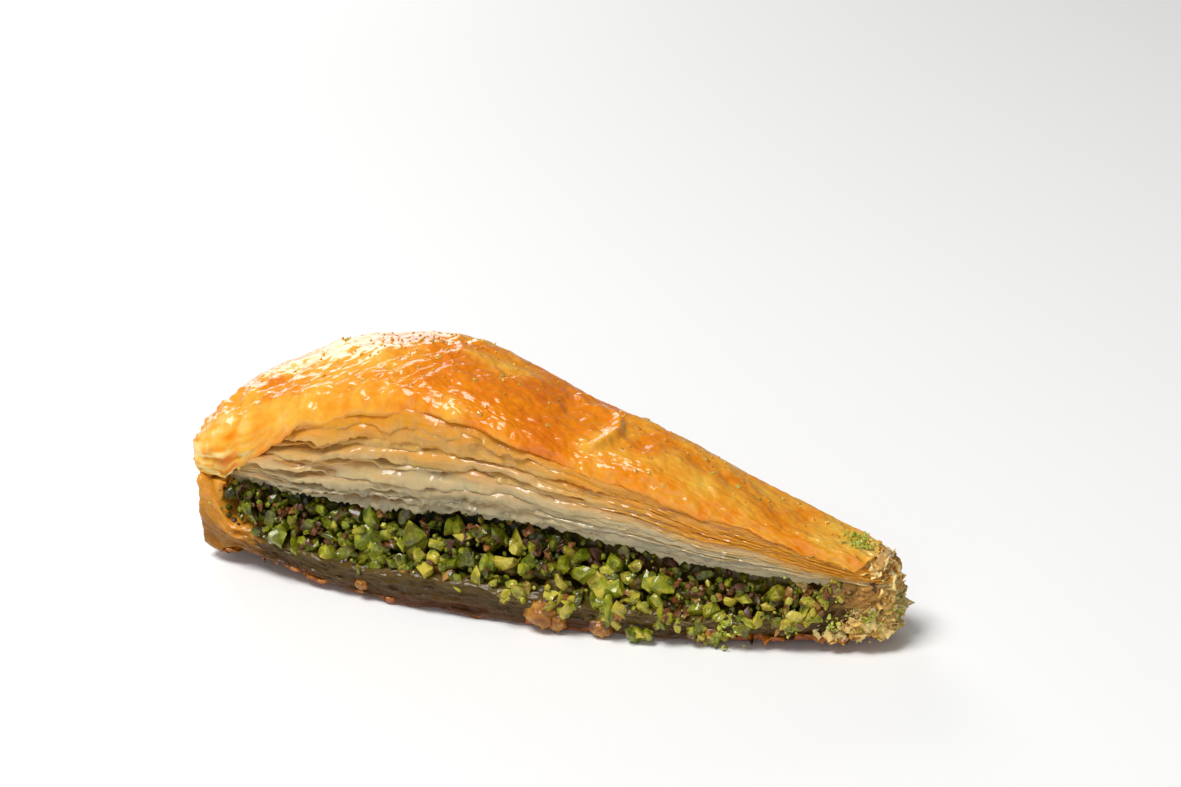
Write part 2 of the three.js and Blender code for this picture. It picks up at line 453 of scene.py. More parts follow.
class CutEdge:
    """The edge of the cut sides in plan: along the front to the tip, round it, and back along the back."""

    def __init__(self, step, start=3.4):
        turn = np.linspace(0, np.pi / 2, 3000)
        u = mix(start / LENGTH, 1, np.sin(turn))
        x = RIM_END + u * LENGTH
        width = half_width(u, SKIN_OUT, -1) * rounded(u)
        back_width = half_width(u, SKIN_OUT, 1) * rounded(u)
        front = np.stack([x, centre_line(u) - width], -1)
        back = np.stack([x, centre_line(u) + back_width], -1)[::-1]
        points = np.concatenate([front, back[1:]])
        run = np.concatenate([[0], np.cumsum(np.linalg.norm(np.diff(points, axis=0), axis=1))])
        self.length = run[-1]
        self.s = np.linspace(0, self.length, int(self.length / step) + 1)
        self.xy = np.stack([np.interp(self.s, run, points[:, i]) for i in (0, 1)], -1)
        tangent = np.gradient(self.xy, axis=0)
        self.normal = np.stack([tangent[:, 1], -tangent[:, 0]], -1)
        self.normal /= np.linalg.norm(self.normal, axis=1, keepdims=True)
        self.u = np.clip((self.xy[:, 0] - RIM_END) / LENGTH, 0, 1)
        self.side = np.clip((self.xy[:, 1] - centre_line(self.u)) / 3, -1, 1)

    def carry(self, out, offsets, heights):
        """Rings along the edge: offsets outwards from a level (its out), and heights above the floor."""
        reach = stands_out(self.u, out, self.side)[:, None] + offsets
        xy = self.xy[:, None] + self.normal[:, None] * reach[..., None]
        return np.concatenate([xy, heights[..., None]], -1)

    def at(self, s):
        """Place, outward direction, share of the length and side, at lengths s along the edge."""
        pick = [np.interp(s, self.s, v) for v in (*self.xy.T, *self.normal.T, self.u, self.side)]
        x, y, nx, ny, u, side = pick
        return np.stack([x, y], -1), np.stack([nx, ny], -1), u, side


# ---- Materials ----


def linear(colour):
    """The scene-linear colour of a display colour given as three shares."""
    return tuple(c / 12.92 if c <= 0.04045 else ((c + 0.055) / 1.055) ** 2.4 for c in colour[:3]) + (1.0,)


# The sockets of a finish's scatter, which is its weight, its reach for red, green and blue and its scale in
# metres, and of its coat, which is its weight and roughness. Then the values of a finish that has neither.
SCATTER_SOCKETS = ("Subsurface Weight", "Subsurface Radius", "Subsurface Scale")
COAT_SOCKETS = ("Coat Weight", "Coat Roughness")
NO_SCATTER = (0.0, (1.0, 0.2, 0.1), 0.05)
NO_COAT = (0.0, 0.03)


class Finish:
    """A material under construction: its node tree, and short ways to add the nodes that it needs."""

    def __init__(self, name, scatter=NO_SCATTER, coat=NO_COAT, **sockets):
        self.material = bpy.data.materials.new(name)
        self.material.use_nodes = True
        self.tree = self.material.node_tree
        self.shader = self.tree.nodes["Principled BSDF"]
        values = dict(zip(SCATTER_SOCKETS + COAT_SOCKETS, scatter + coat))
        values.update({socket.replace("_", " "): value for socket, value in sockets.items()})
        for socket, value in values.items():
            self.shader.inputs[socket].default_value = value
        self.place = self.node("ShaderNodeTexCoord").outputs["Object"]

    def node(self, kind, **settings):
        made = self.tree.nodes.new(kind)
        for key, value in settings.items():
            setattr(made, key, value)
        return made

    def link(self, output, socket):
        self.tree.links.new(output, socket)

    def value(self, name):
        """A per-point value of the mesh."""
        return self.node("ShaderNodeAttribute", attribute_name=name).outputs["Fac"]

    def stretched(self, scale):
        """Object coordinates, in units of 1/scale metres along each axis."""
        mapping = self.node("ShaderNodeMapping")
        mapping.inputs["Scale"].default_value = scale
        self.link(self.place, mapping.inputs["Vector"])
        return mapping.outputs["Vector"]

    def noise(self, scale, detail=4.0, roughness=0.55, distortion=0.0):
        """A noise pattern; scale is one number, or one for each axis."""
        texture = self.node("ShaderNodeTexNoise")
        if isinstance(scale, tuple):
            self.link(self.stretched(scale), texture.inputs["Vector"])
            texture.inputs["Scale"].default_value = 1.0
        else:
            self.link(self.place, texture.inputs["Vector"])
            texture.inputs["Scale"].default_value = scale
        texture.inputs["Detail"].default_value = detail
        texture.inputs["Roughness"].default_value = roughness
        texture.inputs["Distortion"].default_value = distortion
        return texture.outputs["Fac"]

    def cells(self, scale):
        """A cell pattern: the distance to the nearest of many scattered points."""
        texture = self.node("ShaderNodeTexVoronoi")
        self.link(self.place, texture.inputs["Vector"])
        texture.inputs["Scale"].default_value = scale
        return texture.outputs["Distance"]

    def span(self, value, low, high, to_low=0.0, to_high=1.0):
        """The value with the range low to high stretched to another range, and clamped."""
        made = self.node("ShaderNodeMapRange")
        self.link(value, made.inputs["Value"])
        for socket, number in zip(("From Min", "From Max", "To Min", "To Max"), (low, high, to_low, to_high)):
            made.inputs[socket].default_value = number
        return made.outputs["Result"]

    def maths(self, operation, a, b):
        made = self.node("ShaderNodeMath", operation=operation)
        for socket, value in zip(made.inputs, (a, b)):
            if isinstance(value, (int, float)):
                socket.default_value = value
            else:
                self.link(value, socket)
        return made.outputs["Value"]

    def ramp(self, value, places, colours):
        """A colour that runs through display colours, each at its own place, as the value rises."""
        made = self.node("ShaderNodeValToRGB")
        elements = made.color_ramp.elements
        while len(elements) < len(places):
            elements.new(0.5)
        for element, at, colour in zip(elements, places, colours):
            element.position = at
            element.color = linear(colour)
        self.link(value, made.inputs["Fac"])
        return made.outputs["Color"]

    def blend(self, share, a, b, kind="MIX"):
        """Colour a turning into colour b; each is an output or a display colour."""
        made = self.node("ShaderNodeMix", data_type="RGBA", blend_type=kind)
        inputs = [s for s in made.inputs if s.type == "RGBA"]
        self.link(share, made.inputs["Factor"])
        for socket, colour in zip(inputs, (a, b)):
            if isinstance(colour, tuple):
                socket.default_value = linear(colour)
            else:
                self.link(colour, socket)
        return [s for s in made.outputs if s.type == "RGBA"][0]

    def colour(self, output):
        self.link(output, self.shader.inputs["Base Color"])

    def roughness(self, output):
        self.link(output, self.shader.inputs["Roughness"])

    def relief(self, heights):
        """Bumps from (output, millimetres) pairs, one on top of the other."""
        below = None
        for output, depth in heights:
            bump = self.node("ShaderNodeBump")
            bump.inputs["Distance"].default_value = depth * METRES
            bump.inputs["Strength"].default_value = 1.0
            self.link(output, bump.inputs["Height"])
            if below:
                self.link(below, bump.inputs["Normal"])
            below = bump.outputs["Normal"]
        self.link(below, self.shader.inputs["Normal"])


def rgb(red, green, blue):
    """A display colour from 0 to 255, as shares."""
    return (red / 255, green / 255, blue / 255)


def skin_finish(skin):
    """Browned, syrup-glazed pastry: orange where it is browned most, golden to cream where it is least."""
    scatter = (0.18, (1.0, 0.45, 0.12), 0.0016)
    f = Finish("browned skin", scatter, (0.6, 0.07), Specular_IOR_Level=0.15, Coat_IOR=1.45)
    cloud = f.noise(95.0, 5.0, 0.6, 0.4)
    fleck = f.noise(700.0, 3.0)
    browning = f.maths("ADD", f.value("browning"), f.span(cloud, 0.25, 0.75, -0.28, 0.28))
    browning = f.maths("ADD", browning, f.span(fleck, 0.3, 0.7, -0.06, 0.06))
    base = f.ramp(browning, (0.0, 0.3, 0.62, 1.0), (skin.pale, skin.golden, skin.orange, skin.brown))
    speck = f.span(f.cells(330.0), 0.05, 0.12, 1.0, 0.0)
    rare = f.span(f.noise(120.0, 1.0), 0.6, 0.66)
    f.colour(f.blend(f.maths("MULTIPLY", f.maths("MULTIPLY", speck, rare), 0.6), base, rgb(150, 72, 20)))
    f.roughness(f.span(cloud, 0.3, 0.7, 0.26, 0.4))
    f.relief([(f.noise(300.0, 3.0), 0.15), (f.noise(1100.0, 3.0), 0.05), (f.cells(480.0), 0.06)])
    return f.material


def sheets_finish(sheets):
    """Cut pastry sheets: greyish cream low down, beige, golden under the skin; painted shade, orange, deep in
    the gaps.
    """
    scatter = (0.4, (1.0, 0.62, 0.3), 0.0018)
    f = Finish("cut pastry sheets", scatter, (0.6, 0.08), Specular_IOR_Level=0.2)
    streak = f.noise((90.0, 90.0, 2600.0), 5.0, 0.65)
    cloud = f.noise(170.0, 4.0)
    tone = f.maths("ADD", f.value("tone"), f.span(cloud, 0.3, 0.7, -0.08, 0.08))
    base = f.ramp(tone, (0.0, 0.33, 0.66, 1.0), (sheets.low, sheets.cream, sheets.beige, sheets.golden))
    lined = f.maths("MULTIPLY", f.span(streak, 0.35, 0.6, 1.0, 0.0), f.value("lines"))
    base = f.blend(lined, base, tuple(sheets.gap), "MULTIPLY")
    # Painted shade: the depth value turns the colour to the gap colour, the orange of shade in the gaps
    # between sheets.
    f.colour(f.blend(f.value("depth"), base, tuple(sheets.gap)))
    f.roughness(f.span(cloud, 0.3, 0.7, 0.26, 0.42))
    f.relief([(f.noise((800.0, 800.0, 110.0), 3.0), 0.14), (streak, 0.1), (f.noise(900.0, 3.0), 0.05)])
    return f.material


def nuts_finish(nuts):
    """Chopped pistachio, wet with syrup: each piece has its own green, with paler cut faces."""
    scatter = (0.12, (0.5, 0.8, 0.2), 0.0008)
    f = Finish("chopped pistachio", scatter, (0.6, 0.07), Specular_IOR_Level=0.25, IOR=1.45)
    cloud = f.noise(650.0, 4.0, 0.6)
    hue = f.maths("ADD", f.value("hue"), f.span(cloud, 0.3, 0.7, -0.34, 0.34))
    base = f.ramp(hue, (0.0, 0.35, 0.7, 1.0), (nuts.deep, nuts.green, nuts.bright, nuts.yellow))
    brown = f.maths("MULTIPLY", f.value("skin"), f.span(f.noise(900.0, 3.0), 0.35, 0.6))
    f.colour(f.blend(brown, base, tuple(nuts.skin)))
    f.roughness(f.span(cloud, 0.3, 0.7, 0.28, 0.5))
    f.relief([(cloud, 0.4), (f.noise(1800.0, 3.0), 0.16)])
    return f.material


def husk_finish():
    """Bits of the nuts' skins: purple brown to tan, dull and wrinkled."""
    f = Finish("pistachio skins", (0.06, NO_SCATTER[1], 0.0006), (0.4, 0.18))
    cloud = f.noise(800.0, 4.0)
    hue = f.maths("ADD", f.value("hue"), f.span(cloud, 0.3, 0.7, -0.2, 0.2))
    browns = (rgb(46, 22, 8), rgb(84, 44, 14), rgb(130, 76, 24), rgb(170, 120, 52))
    f.colour(f.ramp(hue, (0.0, 0.45, 0.8, 1.0), browns))
    f.roughness(f.span(cloud, 0.3, 0.7, 0.35, 0.6))
    f.relief([(cloud, 0.2), (f.noise(2600.0, 2.0), 0.05)])
    return f.material


def paste_finish():
    """The syrup and ground nut between the pieces, wet and greenish brown, and dark with painted shade."""
    f = Finish("nut paste", coat=(0.3, 0.1), Specular_IOR_Level=0.15)
    cloud = f.noise(420.0, 5.0, 0.65)
    places = (0.3, 0.55, 0.75)
    # The dark ramp is partly the paste's own colour and partly painted shade in the gaps behind the nuts; the
    # wet ramp is browner and lighter.
    dark = f.ramp(cloud, places, (rgb(22, 22, 8), rgb(44, 46, 14), rgb(76, 74, 24)))
    wet = f.ramp(cloud, places, (rgb(62, 46, 10), rgb(100, 80, 20), rgb(142, 120, 38)))
    f.colour(f.blend(f.value("wet"), dark, wet))
    f.roughness(f.span(cloud, 0.3, 0.7, 0.3, 0.55))
    f.relief([(cloud, 0.6)])
    return f.material


def soaked_finish(soaked):
    """Sheets soaked in syrup: see-through, greyish olive to amber, with fine lines along the slice, kept
    darker by painted shade.
    """
    f = Finish("soaked sheets", (0.3, (1.0, 0.7, 0.3), 0.0022), (0.3, 0.1), Specular_IOR_Level=0.1)
    streak = f.noise((120.0, 120.0, 1500.0), 5.0, 0.65)
    cloud = f.noise(120.0, 4.0)
    tone = f.maths("ADD", f.value("tone"), f.span(cloud, 0.3, 0.7, -0.2, 0.2))
    base = f.ramp(tone, (0.0, 0.22, 0.55, 1.0), (soaked.crust, soaked.amber, soaked.olive, soaked.pale))
    base = f.blend(f.value("rim"), base, tuple(soaked.rim))
    base = f.blend(f.value("tip"), base, tuple(soaked.tip))
    f.colour(f.blend(f.span(streak, 0.36, 0.6, 0.2, 0.0), base, rgb(120, 84, 40), "MULTIPLY"))
    f.roughness(f.span(cloud, 0.3, 0.7, 0.22, 0.4))
    f.relief([(streak, 0.1), (f.noise(600.0, 4.0), 0.2), (f.noise(2400.0, 2.0), 0.06)])
    return f.material


def crust_finish(name, places, colours):
    """Baked crust: colours that run from pale to dark with the browning, under a thin glaze."""
    f = Finish(name, (0.15, (1.0, 0.6, 0.15), 0.0015), (0.6, 0.12), Specular_IOR_Level=0.2)
    cloud = f.noise(230.0, 5.0, 0.62, 0.3)
    browning = f.maths("ADD", f.value("browning"), f.span(cloud, 0.25, 0.75, -0.3, 0.3))
    f.colour(f.ramp(browning, places, colours))
    f.roughness(f.span(cloud, 0.3, 0.7, 0.3, 0.55))
    f.relief([(cloud, 0.35), (f.noise((110.0, 110.0, 1500.0), 4.0), 0.16), (f.noise(1300.0, 3.0), 0.08)])
    return f.material


def dust_finish():
    """Finely ground pistachio: bright yellow green, loose and only a little wet."""
    f = Finish("ground pistachio", (0.3, (0.6, 0.8, 0.2), 0.0008), (0.25, 0.03))
    hue = f.maths("ADD", f.value("hue"), f.span(f.noise(900.0, 3.0), 0.3, 0.7, -0.2, 0.2))
    f.colour(f.ramp(hue, (0.0, 0.5, 1.0), (rgb(96, 112, 14), rgb(150, 164, 30), rgb(198, 198, 78))))
    f.relief([(f.noise(1500.0, 3.0), 0.12)])
    return f.material


def flake_finish():
    """Loose dry flakes of pastry sheet: pale gold, thin, and lit through."""
    f = Finish("loose flakes", (0.15, (1.0, 0.7, 0.3), 0.0003), (0.2, 0.12), Specular_IOR_Level=0.2)
    tone = f.maths("ADD", f.value("tone"), f.span(f.noise(300.0, 4.0), 0.3, 0.7, -0.25, 0.25))
    f.colour(f.ramp(tone, (0.0, 0.5, 1.0), (rgb(226, 160, 60), rgb(240, 198, 112), rgb(250, 226, 160))))
    f.roughness(f.span(f.noise(500.0), 0.3, 0.7, 0.3, 0.5))
    f.relief([(f.noise(900.0, 3.0), 0.08)])
    return f.material


def syrup_finish(colour):
    """Clear golden syrup: bright, smooth, and seen through by its own scattering."""
    f = Finish("syrup", (0.6, (1.0, 0.6, 0.2), 0.002), (1.0, 0.02), Roughness=0.06, IOR=1.48)
    f.colour(f.ramp(f.noise(60.0, 2.0), (0.35, 0.7), (colour, rgb(242, 168, 60))))
    return f.material


# ---- Settings ----


def colour_property(name, default, description):
    """A display colour, given from 0 to 255."""
    return FloatVectorProperty(
        name=name, description=description, subtype="COLOR", size=3, min=0, max=1, default=rgb(*default)
    )


def length_property(name, default, description):
    """A length, given in millimetres."""
    return FloatProperty(name=name, description=description, unit="LENGTH", min=0, default=default * METRES)


def angle_property(name, default, description):
    """An angle, given in degrees."""
    return FloatProperty(name=name, description=description, subtype="ANGLE", default=math.radians(default))


class SkinSettings(bpy.types.PropertyGroup):
    thickness: length_property("Thickness", 0.8, "Thickness of the browned skin at its cut edges")
    blisters: length_property("Blisters", 0.45, "Height of the blisters on the skin")
    pale: colour_property("Pale", (250, 218, 140), "Skin that is browned least")
    golden: colour_property("Golden", (240, 176, 60), "Golden skin")
    orange: colour_property("Orange", (234, 134, 4), "Orange skin, which covers the hump")
    brown: colour_property("Brown", (212, 100, 2), "Skin that is browned most")


class SheetSettings(bpy.types.PropertyGroup):
    thickness: length_property("Thickness", 0.28, "Thickness of one bundle of sheets at its edge")
    low: colour_property("Low", (164, 151, 117), "Lowest sheets, over the nuts")
    cream: colour_property("Cream", (202, 177, 129), "Sheets at a third of the stack")
    beige: colour_property("Beige", (220, 164, 80), "Sheets at two thirds of the stack")
    golden: colour_property("Golden", (234, 148, 20), "Sheets right under the skin")
    # Gap is painted shade: the colour laid deep in the gaps between sheets, where they shade one another.
    gap: colour_property("Gap", (202, 128, 48), "Deep in the gaps between sheets")


class NutSettings(bpy.types.PropertyGroup):
    count: IntProperty(name="Count", description="Number of chopped nuts", min=10, default=820)
    smallest: length_property("Smallest", 1.7, "Length of the smallest chopped nut")
    largest: length_property("Largest", 5.0, "Length of the largest chopped nut")
    deep: colour_property("Deep", (50, 50, 9), "Darkest green")
    green: colour_property("Green", (99, 110, 14), "Middle green")
    bright: colour_property("Bright", (152, 156, 28), "Bright green")
    yellow: colour_property("Yellow", (202, 184, 68), "Yellow green of the cut faces")
    skin: colour_property("Skin", (98, 54, 28), "Brown skin on the nuts")


class SoakedSettings(bpy.types.PropertyGroup):
    layers: IntProperty(name="Layers", description="Number of soaked layers under the nuts", min=1, default=6)
    groove: length_property("Groove", 0.3, "Depth of the groove between two soaked layers")
    # The soaked colours are partly the sheets' own and partly painted shade, darker than the soaked sheets
    # themselves.
    crust: colour_property("Crust", (82, 42, 10), "Soaked sheets right above the crust")
    amber: colour_property("Amber", (84, 50, 12), "Amber sheets")
    olive: colour_property("Olive", (78, 58, 18), "Olive sheets")
    pale: colour_property("Pale", (100, 80, 32), "Sheets right under the nuts")
    rim: colour_property("Rim", (216, 146, 46), "Golden sheets at the rim end")
    tip: colour_property("Tip", (196, 144, 70), "Pale sheets at the tip")


class ToppingSettings(bpy.types.PropertyGroup):
    drops: IntProperty(name="Drops", description="Number of syrup drops on the skin", min=0, default=90)
    dust: IntProperty(name="Dust", description="Number of grains of ground pistachio", min=0, default=520)
    crumbs: IntProperty(name="Crumbs", description="Number of golden crumbs on the skin", min=0, default=110)
    flakes: IntProperty(name="Flakes", description="Number of loose flakes at the tip", min=0, default=360)
    syrup: colour_property("Syrup", (232, 138, 24), "Syrup drops")


class StageSettings(bpy.types.PropertyGroup):
    lens: FloatProperty(
        name="Lens", description="Focal length of the camera", unit="CAMERA", min=10, default=85
    )
    azimuth: angle_property("Azimuth", 24.0, "How far the camera stands round to the tip's side")
    elevation: angle_property("Elevation", 21.8, "How far the camera looks down")
    distance: length_property("Distance", 520.0, "Distance from the camera to the point that it looks at")
    floor: colour_property("Floor", (252, 252, 251), "Colour of the floor")


class BaklavaSettings(bpy.types.PropertyGroup):
    skin: PointerProperty(type=SkinSettings)
    sheets: PointerProperty(type=SheetSettings)
    nuts: PointerProperty(type=NutSettings)
    soaked: PointerProperty(type=SoakedSettings)
    topping: PointerProperty(type=ToppingSettings)
    stage: PointerProperty(type=StageSettings)


# ---- The browned skin ----

SKIN_ROWS_ON_WALL = 46
SKIN_STEP = 0.27
SKIN_COLUMNS = 128
SKIN_INNER_COLUMNS = 20
WALL_ROUNDING = 3.4
WALL_RUN = 12
WALL_SQUARENESS = 2.6
SKIN_CROWDING = 0.92
SKIN_SETBACK = 3.4
OVERHANG = 2.0
FOLD_AT = 81.0


def skin_surface():
    """The smooth top: rows go up the rim end's wall and on to the tip, and columns from front to back.

    Each column starts on the rim end's rounded outline, goes up by a superellipse and follows the arch on to
    the tip's outline. Returns the points, and for each point its share of the length u, its share across b,
    its run along the surface, and how far up the wall it is (1 on top)."""
    b, start, end = outline(SKIN_COLUMNS, SKIN_CROWDING, SKIN_SETBACK)
    end = end - 0.8 * along(b, 0.3, 108)
    theta = np.linspace(0, np.pi / 2, SKIN_ROWS_ON_WALL)
    power = 2 / WALL_SQUARENESS
    rise = np.concatenate([np.sin(theta) ** power, np.ones(int(LENGTH / SKIN_STEP))])[:, None]
    wall_run = WALL_ROUNDING * (1 - np.cos(theta) ** power)
    share = np.linspace(0, 1, int(LENGTH / SKIN_STEP) + 1)[1:, None]
    top_run = mix(WALL_ROUNDING, (end - start)[None], share)
    run = np.concatenate([np.broadcast_to(wall_run[:, None], (len(theta), len(b))), top_run])
    x = start[None] + run
    u = x / LENGTH
    side = np.where(b < 0, -1.0, 1.0)[None]
    low = ceiling(u)
    edge = shoulder(u)
    top = edge + (crest(u) - edge) * crown(b)[None]
    height = lift(u) + low + (top - low) * rise
    overhang = OVERHANG * np.sin(np.pi * np.clip(rise, 0, 1) ** 1.3) * hump(run, 0, 4.0)
    y = centre_line(u) + b[None] * half_width(u, SKIN_OUT, side)
    points = np.stack([RIM_END + SKIN_SHIFT + x - overhang, y, height], -1)
    b, rise = np.broadcast_to(b[None], u.shape), np.broadcast_to(rise, u.shape)
    return points, u, b, run + (rise - 1) * WALL_RUN, rise


def skin_relief(x, y, u, b, blisters):
    """Height of the skin's own shape in mm: broad swellings, blisters, small bubbles, wrinkles and folds.

    The small shapes are laid out over w, which is y stretched where the skin turns down to its edges."""
    broad = 0.4 * over(x, y, 22.0, 12.0, 11)
    w = y + 7.0 * b**5
    quilt = blisters * (1.3 * bubbles(x, w, 8.5, 21, 0.6) + 0.8 * bubbles(x, w, 4.2, 31, 0.45))
    small = 0.2 * bubbles(x, w, 2.1, 41, 0.3) + 0.2 * over(x, w, 3.0, 2.4, 43, 2)
    zone = hump(u, 0.3, 0.07) * hump(b, -0.6, 0.3) + 0.8 * hump(u, 0.07, 0.06) * hump(b, -0.9, 0.5)
    wrinkle = -1.1 * np.abs(over(x - 0.8 * y, y + 0.8 * x, 3.6, 12.0, 51, 1)) * zone
    wrinkle = wrinkle + 0.6 * over(x + 0.5 * y, y, 3.2, 5.0, 53, 2) * hump(u, 0.06, 0.09) * hump(b, -0.6, 0.7)
    fine = 0.07 * over(x, w, 1.1, 1.1, 71, 3)
    fine = fine + 0.16 * over(x, 12 * b, 20.0, 1.2, 73, 1) * ease(np.abs(b), 0.5, 0.85)
    behind = x - FOLD_AT + 0.08 * (y + 4.0) ** 2
    fold = 0.75 * hump(behind, 0.0, 1.1) + 0.8 * ease(behind, -14.0, -0.5) * ease(-behind, -1.2, 0.2)
    fold *= ease(y, -11.0, -8.0) * ease(-y, -4.5, -1.0)
    return (broad + quilt + small + wrinkle + fine + fold) * (1 - 0.7 * ease(b, 0.55, 0.95))


def skin_browning(x, y, u, b, rise, height):
    """How brown the skin is: most on the hump and its slope to the tip, least at the rim and on bubbles."""
    brown = 0.5 + 0.16 * over(x, y, 14.0, 9.0, 81, 3)
    brown = brown + 0.2 * hump(u, 0.5, 0.14) + 0.05 * hump(u, 0.28, 0.1)
    brown = brown - 0.2 * hump(u, 0.12, 0.09) * hump(b, -0.1, 0.6) - 0.1 * ease(u, 0.55, 0.9)
    brown = brown + mix(-0.12, 0.13, ease(u, 0.45, 0.6)) * ease(np.abs(b), 0.7, 0.95) + 0.08 * (1 - rise)
    brown = brown - 0.05 * np.clip(height, 0, 1)
    side_wall = ease(u, 0.16, 0.06) * ease(np.abs(b), 0.8, 0.95)
    brown = brown - side_wall * (0.14 + 0.5 * over(x, 60 * b, 6.0, 0.7, 93, 2))
    reddish = over(x, y, 9.0, 5.0, 91, 2)
    return np.clip(brown + 0.25 * ease(reddish, 0.35, 0.8) * hump(u, 0.08, 0.08), 0, 1)


class BAKLAVA_OT_browned_skin(bpy.types.Operator):
    """Lays the puffed, browned skin over the top, with its blisters, folds and drooping cut edges"""

    bl_idname = "baklava.browned_skin"
    bl_label = "Browned skin"

    def wrapped(self, skin, x, u, b, rise):
        """Carries the skin's edges down over the cut sides next to the rim end, as a softly pleated wall."""
        down = np.clip((np.abs(b) - 0.86) / 0.14, 0, 1)
        fall = np.clip((0.18 - u + 0.006 * along(x, 3.0, 107)) / 0.12, 0, 1)
        share = fall * ease(np.abs(b), 0.84, 0.93)
        pleats = 0.3 * over(x, 8 * down, 2.4, 7.0, 109) + 0.5 * over(x, 8 * down, 5.0, 0.9, 110)
        pleats = pleats - 0.5 * np.abs(over(x, 9 * down, 9.0, 1.3, 111, 1))
        reach = half_width(u, SKIN_OUT, np.sign(b)) + 0.9 + 0.7 * np.sin(np.pi * down) + pleats
        wall_y = centre_line(u) + np.sign(b) * reach
        wall_z = lift(u) + mix(shoulder(u) + 1.2, ceiling(u) + 0.5, down)
        y = mix(skin[..., 1], wall_y, share * ease(rise, 0.4, 1.0))
        z = mix(skin[..., 2], np.minimum(skin[..., 2], wall_z), share)
        return np.stack([skin[..., 0], y, z], -1)

    def execute(self, context):
        settings = context.scene.baklava.skin
        thickness = settings.thickness / METRES
        points, u, b, run, rise = skin_surface()
        x, y = points[..., 0] - RIM_END, points[..., 1]
        along_skin = np.where(rise < 1, run, x)
        height = skin_relief(along_skin, y, u, b, settings.blisters / METRES)
        skin = points + grid_normals(points) * height[..., None]
        edge = ease(np.abs(b), 0.9, 1.0)
        uneven = 0.9 * along(along_skin, 9.0, 101) + 0.6 * along(along_skin, 3.0, 102, 3)
        flap = np.maximum(0.6 + uneven * mix(1, 0.5, ease(u, 0.5, 0.7)), 0.15)
        skin[..., 2] -= edge * flap * rise
        bulge = (0.5 + 0.3 * along(along_skin, 5.0, 103)) * mix(1, 0.4, ease(u, 0.5, 0.75))
        skin[..., 1] += np.sign(b) * edge * bulge * rise
        skin = self.wrapped(skin, x, u, b, rise)
        skin[..., 2] -= ease(u, 0.93, 0.97) * (0.5 + 0.6 * over(x, y, 3.0, 1.5, 104))
        skin[..., 2] += ease(rise, 0.25, 0.0) * 0.5 * along(y, 4.0, 105)
        browning = skin_browning(along_skin, y, u, b, rise, height)

        wall = thickness * (0.8 + 0.25 * over(along_skin, y, 5.0, 5.0, 106)) * mix(1, 0.5, ease(u, 0.45, 0.7))
        inside = skin - grid_normals(skin) * wall[..., None]
        rings = shell(skin, inside, SKIN_INNER_COLUMNS)[:, ::-1]
        browning = shell(browning, np.full_like(browning, 0.25), SKIN_INNER_COLUMNS)[:, ::-1]
        shapes = Shapes().add_loft(rings, browning=browning)
        shapes.finish("browned_skin", skin_finish(settings), "browned_pastry")
        return {"FINISHED"}


# ---- The stack of sheets under the skin ----

# Each hanging edge: share of the stack at its lower edge and at its root, then in millimetres how far it
# stands out, the height of its broad swellings, the depth of its pleats, and how ragged its lower edge is.
HANGING_EDGES = [
    (-0.05, 0.05, -0.5, 0.3, 0.5, 0.8),
    (0.02, 0.12, 0.1, 0.35, 0.55, 0.6),
    (0.09, 0.2, -0.1, 0.4, 0.5, 0.45),
    (0.17, 0.3, 0.35, 0.6, 0.42, 0.3),
    (0.26, 0.48, 0.55, 1.0, 0.36, 0.2),
    (0.44, 0.55, -0.1, 0.6, 0.3, 0.2),
    (0.51, 0.68, 0.45, 1.0, 0.34, 0.25),
    (0.65, 0.76, 0.0, 0.8, 0.28, 0.3),
    (0.72, 0.9, 0.6, 1.1, 0.3, 0.4),
    (0.84, 1.03, 0.6, 0.9, 0.26, 0.6),
]
PALE_EDGES = 5
EDGE_STEP = 0.28
EDGE_START = 7.6
EDGE_POINTS = 9
EDGE_ROOT = -3.6
LINE_ROOT = -3.0
SHEET_LINES = 16


def stack_height(u, share):
    """Height above the floor at a share of the stack: 0 at the top sheets' underside, 1 at the shoulder."""
    return lift(u) + mix(ceiling(u), shoulder(u), share)


def stack_out(path, share):
    """How far the stack's face stands out past the skin's edge at a share of its height: as a power curve."""
    low = stands_out(path.u, SHEETS_OUT, path.side)[:, None]
    high = stands_out(path.u, SKIN_OUT, path.side)[:, None]
    return mix(low, high, np.clip(share, 0, 1) ** 1.5)


def face_relief(path, share):
    """Broad unevenness of the cut face: swellings, and a hollow under the skin near the rim end, in mm."""
    s = path.s[:, None]
    return 0.45 * over(s, share, 17.0, 0.5, 201) - 1.3 * hump(s, 16.0, 8.0) * hump(share, 0.72, 0.22)


def sheet_tone(u, share):
    """Tone of the cut sheets, from 0, greyish, to 1, golden: it rises up the stack and towards both ends."""
    tip = 0.4 * ease(u, 0.5, 0.8) * ease(share, 0.25, 0.6) + 0.25 * ease(u, 0.8, 0.95)
    return np.clip(share + tip + 0.4 * ease(u, 0.16, 0.03), 0, 1)


def shared_wave(s, share):
    """Moves the stack's sheets up and down together, most at mid height: they thin and thicken on the way."""
    return share + 0.3 * along(s, 21.0, 290) * np.clip(share * (1 - share), 0, 1)


